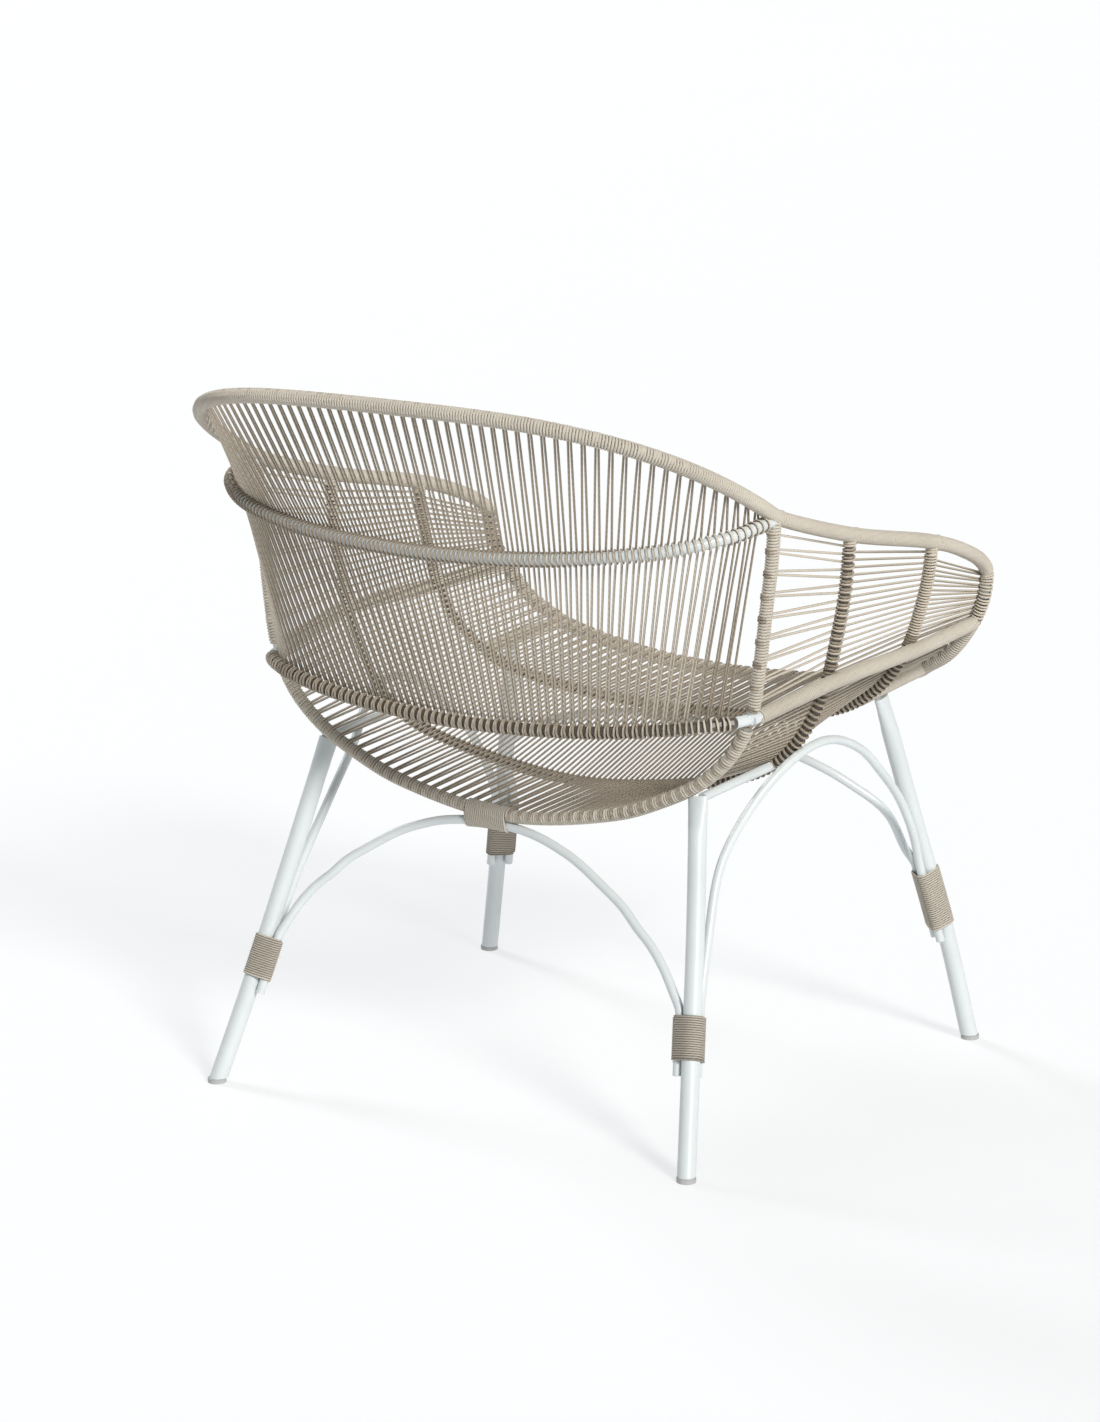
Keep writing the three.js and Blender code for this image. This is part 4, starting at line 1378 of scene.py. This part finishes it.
@dataclass
class Windings:
    """Cord wound closely round the rim, the rear hoop, the side rails and the front struts.

    All lengths are in metres: the cord's radius, how far it stands out of the CAD tube, the bare
    steel beside a weld, the gaps at tube ends, and where and how the collars lie.
    """

    skeleton: Skeleton
    cord: bpy.types.Material
    radius: float = 0.0016
    proud: float = 0.0025
    bare: float = 0.011
    end_gap: float = 0.004
    nose_gap: float = 0.005
    collar_place: float = 0.0085
    collar_run: float = 0.0055
    collar_pitch: float = 0.0034
    collar_rise: float = 0.0007

    def _coil(self, tube: float, extra: float = 0.0) -> Coil:
        """Return the winding of a tube, its diameter in millimetres, standing as proud of it as all do."""
        return Coil(self.radius, tube / 2 * MM + self.proud + extra - self.radius)

    def _wind(self, name: str, tube: float, line: Line, *spans: tuple[float, float]) -> None:
        """Wind one tube over some stretches.

        Args:
            name: The piece's name.
            tube: The tube's diameter in millimetres.
            line: Its centre line.
            *spans: Where each stretch starts and ends.
        """
        cordage = Cordage(name, sides=8)
        for start, end in spans:
            self._coil(tube).wind(line, start, end, cordage)
        cordage.finish(self.cord, "binding_cord")

    def build(self) -> None:
        """Make all windings and the collars where the hoops meet the arms."""
        bones, gap = self.skeleton, self.end_gap
        rim, mark = bones.rim, bones.nose_mark
        top, rail = bones.nose_strings
        backward, reach = bones.over_back(mark, samples=700), top - self.radius
        self._wind("top_rail_winding", bones.rim_tube, backward, (mark - reach, mark + reach))
        self._wind("front_bow_winding", bones.rim_tube, rim, (rail, rim.length - rail))
        hoop = bones.hoops["rear"]
        joint = bones.left_mark(hoop, 2, bones.rail_heights[0])
        marks = (gap, joint - self.bare, joint + self.bare)
        marks += tuple(hoop.length - m for m in marks[::-1])
        self._wind("rear_hoop_winding", bones.rod, hoop, *zip(marks[::2], marks[1::2]))
        for side in Side:
            tube, strut = bones.side_rail.mirrored(side), bones.struts["front"].mirrored(side)
            span = (self.bare, tube.length - self.nose_gap)
            self._wind(f"side_rail_winding_{side.label}", bones.side_tube, tube, span)
            self._wind(f"front_strut_winding_{side.label}", bones.rod, strut, (gap, strut.length - gap))
        self._collars()

    def _collars(self) -> None:
        """Lay proud turns round the rim beside the head of each hoop."""
        bones = self.skeleton
        collars = Cordage("rim_collars", sides=8)
        coil = self._coil(bones.rim_tube, self.collar_rise)
        for hoop in HOOPS.values():
            start = bones.head_mark(hoop.y) + self.collar_place
            end = start + self.collar_run
            for side in (Side.LEFT, Side.RIGHT):
                coil.wind(bones.rim.mirrored(side), start, end, collars, self.collar_pitch)
        collars.finish(self.cord, "binding_cord")


@dataclass
class Sleeves:
    """The bindings that hold the arches' rods to the legs and to the hoops' bellies."""

    skeleton: Skeleton
    cord: bpy.types.Material
    corners: int = 20
    sink: float = 0.7
    sink_turns: float = 0.5
    slimness: float = 0.99

    def _outline(self, rods: Sequence[tuple[float, float, float]], cord: float) -> Array:
        """Draw one taut turn round rods seen end on.

        Args:
            rods: Each rod's place and radius.
            cord: The cord's radius.

        Returns:
            Points round the bundle, evenly spaced.
        """
        turn = np.linspace(0, TURN, 721)
        way = np.column_stack([np.cos(turn), np.sin(turn)])
        reach = np.array([way @ np.array([x, y]) + r for x, y, r in rods])
        touched = np.argmax(reach, axis=0)
        centres = np.array([[x, y] for x, y, _ in rods])[touched]
        radii = np.array([r for *_, r in rods])[touched][:, None]
        taut = centres + (radii + cord) * way
        steps = np.concatenate([[0], np.cumsum(np.linalg.norm(np.diff(taut, axis=0), axis=1))])
        where = np.linspace(0, steps[-1], self.corners, endpoint=False)
        return np.column_stack([np.interp(where, steps, taut[:, k]) for k in range(2)])

    def _wind(self, name: str, node: str, sleeve: Binding, place: Callable[[float], tuple]) -> None:
        """Wind one sleeve.

        Args:
            name: The piece's name.
            node: The node that it stands for.
            sleeve: Its length and turns.
            place: Gives the origin, the two directions across and the rods at a distance along.
        """
        cord = sleeve.length / sleeve.turns / 2 * MM
        total = sleeve.turns * self.corners
        rows = []
        for i in range(total + 1):
            distance = cord / MM + (sleeve.length - 2 * cord / MM) * i / total
            origin, first, second, rods = place(distance)
            ends = min(min(i, total - i) / (self.corners * self.sink_turns), 1.0)
            sunk = self.sink * cord * (1 - ends) ** 2
            x, y = self._outline(rods, cord - sunk)[i % self.corners]
            rows.append(origin + first * x + second * y)
        cordage = Cordage(name, sides=7)
        cordage.lay(np.array(rows), cord * self.slimness)
        cordage.finish(self.cord, "binding_cord", node)

    def build(self) -> None:
        """Make the four leg sleeves and the two crown sleeves."""
        for side in Side:
            for end in End:
                self._leg_sleeve(end, side)
        for end, hoop in ((End.REAR, "rear"), (End.FRONT, "fore")):
            self._crown_sleeve(end, hoop)

    def _leg_sleeve(self, end: End, side: Side) -> None:
        """Wind the sleeve round a leg and the rods of its two arches."""
        bones = self.skeleton
        sleeve = bones.sleeves[end]
        offset = bones.rod_offset * MM
        rods = (
            (0.0, 0.0, bones.leg_tube / 2 * MM),
            (offset, 0.0, bones.rod / 2 * MM),
            (0.0, offset, bones.rod / 2 * MM),
        )

        def place(distance: float) -> tuple:
            """Return the bundle's frame at a distance up the sleeve."""
            point, inward, onward = bones.leg_frame(end, sleeve.start + distance)
            return side.turned(point * MM), side.turned(inward), side.turned(onward), rods

        self._wind(f"{end.value}_sleeve_{side.label}", f"{end.value}_binding_{side.label}", sleeve, place)

    def _crown_sleeve(self, end: End, hoop: str) -> None:
        """Wind the sleeve round a hoop's belly and the crown of the arch under it."""
        bones = self.skeleton
        sleeve = bones.crowns[end]
        hoop_line, arch_line = bones.hoops[hoop], bones.arches[end]
        rod = bones.rod / 2 * MM
        wound = Windings.proud if hoop == "rear" else 0.0

        def place(distance: float) -> tuple:
            """Return the bundle's frame at a distance across the crown."""
            x = (sleeve.start - sleeve.length / 2 + distance) * MM
            origin = hoop_line.at(hoop_line.where(0, x))[0]
            crown = arch_line.at(arch_line.where(0, x))[0] - origin
            rods = ((0.0, 0.0, rod + wound), (crown[1], crown[2], rod))
            return origin, np.array([0.0, 1.0, 0.0]), UP, rods

        self._wind(f"{end.value}_crown_sleeve", f"{end.value}_arch_binding", sleeve, place)


# Strings


@dataclass
class SeatStrings:
    """The strings of the sides and the seat, from the rear hoop over two hoops to the front edge."""

    skeleton: Skeleton
    cord: bpy.types.Material
    flank_count: int = 17
    seat_count: int = 54
    radius: float = 0.0014
    proud: float = 0.0025
    arm_margin: float = 0.0125
    pair: float = 0.0031
    wrap_pitch: float = 2.3
    pass_pitch: float = 0.6
    head_gap: float = 0.004
    head_lap: float = 0.001

    def build(self) -> None:
        """Lay all strings of both sides and the short windings above the first of them."""
        bones = self.skeleton
        focus = bones.into_seat
        rod, rim = (size / 2 * MM + self.proud - 2 * self.radius for size in (bones.rod, bones.rim_tube))
        hoops = [Support(bones.hoops[name], rod, focus) for name in ("rear", "middle", "fore")]
        supports = (*hoops, Support(bones.rim, rim, focus))
        marks = [
            (self.arm_margin, bones.left_mark(hoop.line, 2, height), hoop.line.length / 2)
            for hoop, height in zip(hoops, bones.rail_heights)
        ]
        marks.append((*bones.nose_strings, bones.rim.length / 2))
        flank = (np.arange(self.flank_count) + 0.5) / self.flank_count
        seat = (np.arange(self.seat_count) + 0.5) / self.seat_count + 1
        rows = [stations(*mark, np.concatenate([flank, seat])) for mark in marks]
        rows[0] = paired(rows[0], 1, self.pair)
        rows[3] = paired(rows[3], 0, self.pair)
        flanks, seats = range(self.flank_count), range(self.flank_count, len(rows[0]))
        groups = (
            ("side_strings", flanks, 2, ("side_cords",)),
            ("seat_strings", seats, 1, ("seat_cords_outer", "seat_cords_inner")),
        )
        for name, members, wraps, nodes in groups:
            paths = np.array([self._string(supports, [row[i] for row in rows], wraps, i) for i in members])
            for side in Side:
                cordage = Cordage(f"{name}_{side.label}")
                cordage.lay(side.turned(paths), self.radius)
                cordage.finish(self.cord, "string_cord", *(f"{node}_{side.label}" for node in nodes))
        self._heads(supports, marks)

    def _string(
        self, supports: Sequence[Support], distances: Sequence[float], turns: int, order: int
    ) -> Array:
        """Draw one string over the four supports.

        Args:
            supports: The rear, middle and fore hoops and the front edge.
            distances: Where the string meets each.
            turns: How often it goes round the middle and the fore hoop.
            order: The string's place in its row.

        Returns:
            Its points, wraps and ends included.
        """
        points = [support.line.at(d)[0] for support, d in zip(supports, distances)]
        cord = self.radius
        pitch = cord * (self.wrap_pitch if turns > 1 else self.pass_pitch)
        rear, *hoops, edge = supports
        start = rear.tuck(distances[0], points[1], cord, rear.radius + cord, count=10)[::-1]
        wraps = [
            hoop.wrap(distances[k], points[k - 1], points[k + 1], cord, turns, pitch, count=5 + 10 * turns)
            for k, hoop in enumerate(hoops, 1)
        ]
        if turns > 1:
            beyond, hand = 2 * points[3] - points[2], 1 if order % 2 else -1
            turn = {"turns": 1, "pitch": hand * cord / 2, "count": 16}
            end = edge.wrap(distances[3], points[2], beyond, cord, **turn)[:-2]
        else:
            end = edge.tuck(distances[3], points[2], cord, edge.radius + cord, count=10)
        return joined([start, *wraps, end])

    def _heads(self, supports: Sequence[Support], marks: Sequence[tuple[float, float, float]]) -> None:
        """Wind the hoops' heads between the arms and the first strings."""
        for k, name in ((1, "middle"), (2, "fore")):
            line, rod = supports[k].line, supports[k].radius
            heads = Cordage(f"{name}_hoop_heads")
            first, gap = marks[k][0] + self.head_lap, self.head_gap
            coil = Coil(self.radius, rod + self.radius)
            coil.wind(line, gap, first, heads)
            coil.wind(line, line.length - first, line.length - gap, heads)
            heads.finish(self.cord, "binding_cord")


@dataclass
class BackStrings:
    """The strings of the back, from the top rail over the mid rail to the low rail.

    The pitches, the tuck and the foot's shift are shares of a cord's radius or of a foot's pitch.
    """

    skeleton: Skeleton
    cord: bpy.types.Material
    count: int = 124
    radius: float = 0.0013
    proud: float = 0.0025
    margins: tuple[float, float, float] = (0.018, 0.016, 0.024)
    crowding: float = 0.57
    pair: float = 0.0028
    foot_points: int = 13
    bends: int = 9
    meeting: float = 0.6
    meeting_ease: float = 1.5
    tuck: float = 0.35
    ring_pitch: float = 1.2
    foot_pitch: float = 2.1
    foot_shift: float = 0.6

    def build(self) -> None:
        """Lay all strings."""
        bones = self.skeleton
        focus = bones.into_back
        around = bones.over_back(bones.head_mark(bones.rear_y), samples=500)
        sunk = self.proud - 2 * self.radius
        tube = bones.back_tube / 2 * MM
        supports = (
            Support(around, bones.rim_tube / 2 * MM + sunk, focus),
            Support(bones.rails["mid"], tube, focus),
            Support(bones.rails["low"], tube + sunk, focus),
        )
        shares = crowded(self.count, self.crowding)
        rows = [margin + (s.line.length - 2 * margin) * shares for s, margin in zip(supports, self.margins)]
        rows[0] = paired(rows[0], 0, self.pair)
        rows[2] = paired(rows[2], 1, self.pair)
        paths = np.array(
            [self._string(supports, [row[i] for row in rows], -1 if i % 2 else 1) for i in range(self.count)]
        )
        for i in range(1, self.count - 1, 2):
            self._meet(paths[i], paths[i + 1])
        cordage = Cordage("back_strings")
        cordage.lay(paths, self.radius)
        cordage.finish(self.cord, "string_cord", *(f"back_cords_{i}" for i in range(1, 7)))

    def _string(self, supports: Sequence[Support], distances: Sequence[float], hand: int) -> Array:
        """Draw one string from the top rail down, with a ring round the mid rail and a turn at its foot.

        Args:
            supports: The top, mid and low rails.
            distances: Where the string meets each.
            hand: The way its last turn advances, 1 or -1.

        Returns:
            The string's points.
        """
        points = [support.line.at(d)[0] for support, d in zip(supports, distances)]
        cord, pitch = self.radius, self.foot_pitch * self.radius
        layer = supports[0].radius + self.tuck * cord
        top = supports[0].tuck(distances[0], points[1], cord, layer, count=10)[::-1]
        once = {"turns": 1, "pitch": self.ring_pitch * cord, "count": 12}
        ring = supports[1].wrap(distances[1], points[0], points[2], cord, **once)
        below = 2 * points[2] - points[1]
        foot = distances[2] + hand * self.foot_shift * pitch
        last = {"turns": 1, "pitch": hand * pitch, "count": self.foot_points + 2}
        low = supports[2].wrap(foot, points[1], below, cord, **last)[:-2]
        down = np.linspace(ring[-1], low[0], self.bends + 2)[1:-1]
        return np.vstack([top, np.linspace(top[-1], ring[0], 5)[1:-1], ring, down, low])

    def _meet(self, left: Array, right: Array) -> None:
        """Let a pair meet half-way down to the low rail and run on side by side.

        Args:
            left: One string's points, which are moved.
            right: Its neighbour's.
        """
        ends = len(left) - self.foot_points
        free = slice(ends - self.bends, ends)
        middle, across = (left[free] + right[free]) / 2, right[free] - left[free]
        wide, close = (np.linalg.norm(right[k] - left[k]) for k in (ends - self.bends - 1, ends))
        down = np.arange(1, self.bends + 1) / (self.bends + 1)
        gap = close + (wide - close) * np.clip(1 - down / self.meeting, 0, 1) ** self.meeting_ease
        half = unit(across) * gap[:, None] / 2
        left[free], right[free] = middle - half, middle + half


# Studio


@dataclass
class Studio:
    """The pale floor, the plain backdrop, the soft lights and the camera."""

    eye: tuple[float, float, float] = (-2.4315, 3.8585, 1.5076)
    azimuth: float = 212.529
    tilt: float = 13.497
    lens: float = 107.14
    sensor: float = 36.0
    sight: float = 200.0
    floor_size: float = 120.0
    floor_colour: Colour = (0.25, 0.2525, 0.255)
    floor_glow: float = 2.7
    backdrop_reach: float = 58.0
    backdrop_glow: float = 3.7
    room: float = 0.36
    spread: float = 14.0
    key: float = 3.1
    key_place: tuple[float, float, float] = (-4.0, 2.0, 3.0)
    counter: float = 1.5
    counter_place: tuple[float, float, float] = (3.3, -0.9, 2.6)

    def build(self) -> None:
        """Set up everything that isn't the chair."""
        self._camera()
        self._floor()
        self._lights()

    def _camera(self) -> None:
        """Stand the camera where the photograph was taken from."""
        turn, tilt = math.radians(self.azimuth), math.radians(self.tilt)
        back = Vector((math.sin(turn) * math.cos(tilt), -math.cos(turn) * math.cos(tilt), math.sin(tilt)))
        right = Vector((math.cos(turn), math.sin(turn), 0.0))
        up = back.cross(right)
        data = bpy.data.cameras.new("camera")
        data.lens = self.lens
        data.sensor_width = self.sensor
        data.clip_end = self.sight
        camera = bpy.data.objects.new("camera", data)
        bpy.context.collection.objects.link(camera)
        place = Matrix((right, up, back)).transposed().to_4x4()
        place.translation = Vector(self.eye)
        camera.matrix_world = place
        bpy.context.scene.camera = camera

    def _floor(self) -> None:
        """Lay the floor and stand a plain backdrop far round it, which takes no light from the room."""
        Bench.clear()
        bpy.ops.mesh.primitive_plane_add(size=self.floor_size, location=(0, 0, 0))
        floor = bpy.context.object
        floor.name = "floor"
        floor.data.materials.append(FloorFinish("studio_floor", self.floor_colour, self.floor_glow).build())
        Bench.clear()
        bpy.ops.mesh.primitive_uv_sphere_add(
            segments=48, ring_count=24, radius=self.backdrop_reach, location=(0, 0, 0)
        )
        backdrop = bpy.context.object
        backdrop.name = "backdrop"
        finish = FloorFinish("studio_backdrop", self.floor_colour, self.backdrop_glow)
        backdrop.data.materials.append(finish.build())
        backdrop.visible_diffuse = backdrop.visible_glossy = False
        backdrop.visible_transmission = backdrop.visible_shadow = False

    def _sun(self, name: str, place: Sequence[float], power: float, colour: Colour) -> None:
        """Set a soft light that falls evenly from one side.

        Args:
            name: The light's name.
            place: A point that it comes from, seen from the chair.
            power: Its power in watts on a square metre.
            colour: Its colour.
        """
        data = bpy.data.lights.new(name, "SUN")
        data.energy = power
        data.angle = math.radians(self.spread)
        data.color = colour
        sun = bpy.data.objects.new(name, data)
        bpy.context.collection.objects.link(sun)
        sun.location = place
        sun.rotation_euler = (-Vector(place)).to_track_quat("-Z", "Y").to_euler()

    def _lights(self) -> None:
        """Set the plain colour view, the sky, the key light and the weaker light against it."""
        bpy.context.scene.view_settings.view_transform = "Standard"
        world = bpy.data.worlds.new("studio")
        bpy.context.scene.world = world
        world.use_nodes = True
        sky = world.node_tree.nodes["Background"]
        sky.inputs["Color"].default_value = (0.97, 0.985, 1.0, 1.0)
        sky.inputs["Strength"].default_value = self.room
        self._sun("key", self.key_place, self.key, (1.0, 0.975, 0.935))
        self._sun("counter", self.counter_place, self.counter, (0.97, 0.985, 1.0))


@dataclass
class Chair:
    """The whole chair, made in the order of its real making: steel, windings, strings."""

    skeleton: Skeleton = field(default_factory=Skeleton)

    def build(self) -> None:
        """Make every sub-assembly."""
        finishes = Finishes.mixed()
        SteelFrame(self.skeleton, finishes.steel, finishes.hollows).build()
        Glides(self.skeleton, finishes.glides).build()
        Windings(self.skeleton, finishes.sleeves).build()
        Sleeves(self.skeleton, finishes.sleeves).build()
        SeatStrings(self.skeleton, finishes.strings).build()
        BackStrings(self.skeleton, finishes.strings).build()


def main() -> None:
    """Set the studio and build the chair."""
    logging.basicConfig(level=logging.INFO, format="%(name)s: %(message)s")
    Studio().build()
    Chair().build()


if __name__ == "__main__":
    main()
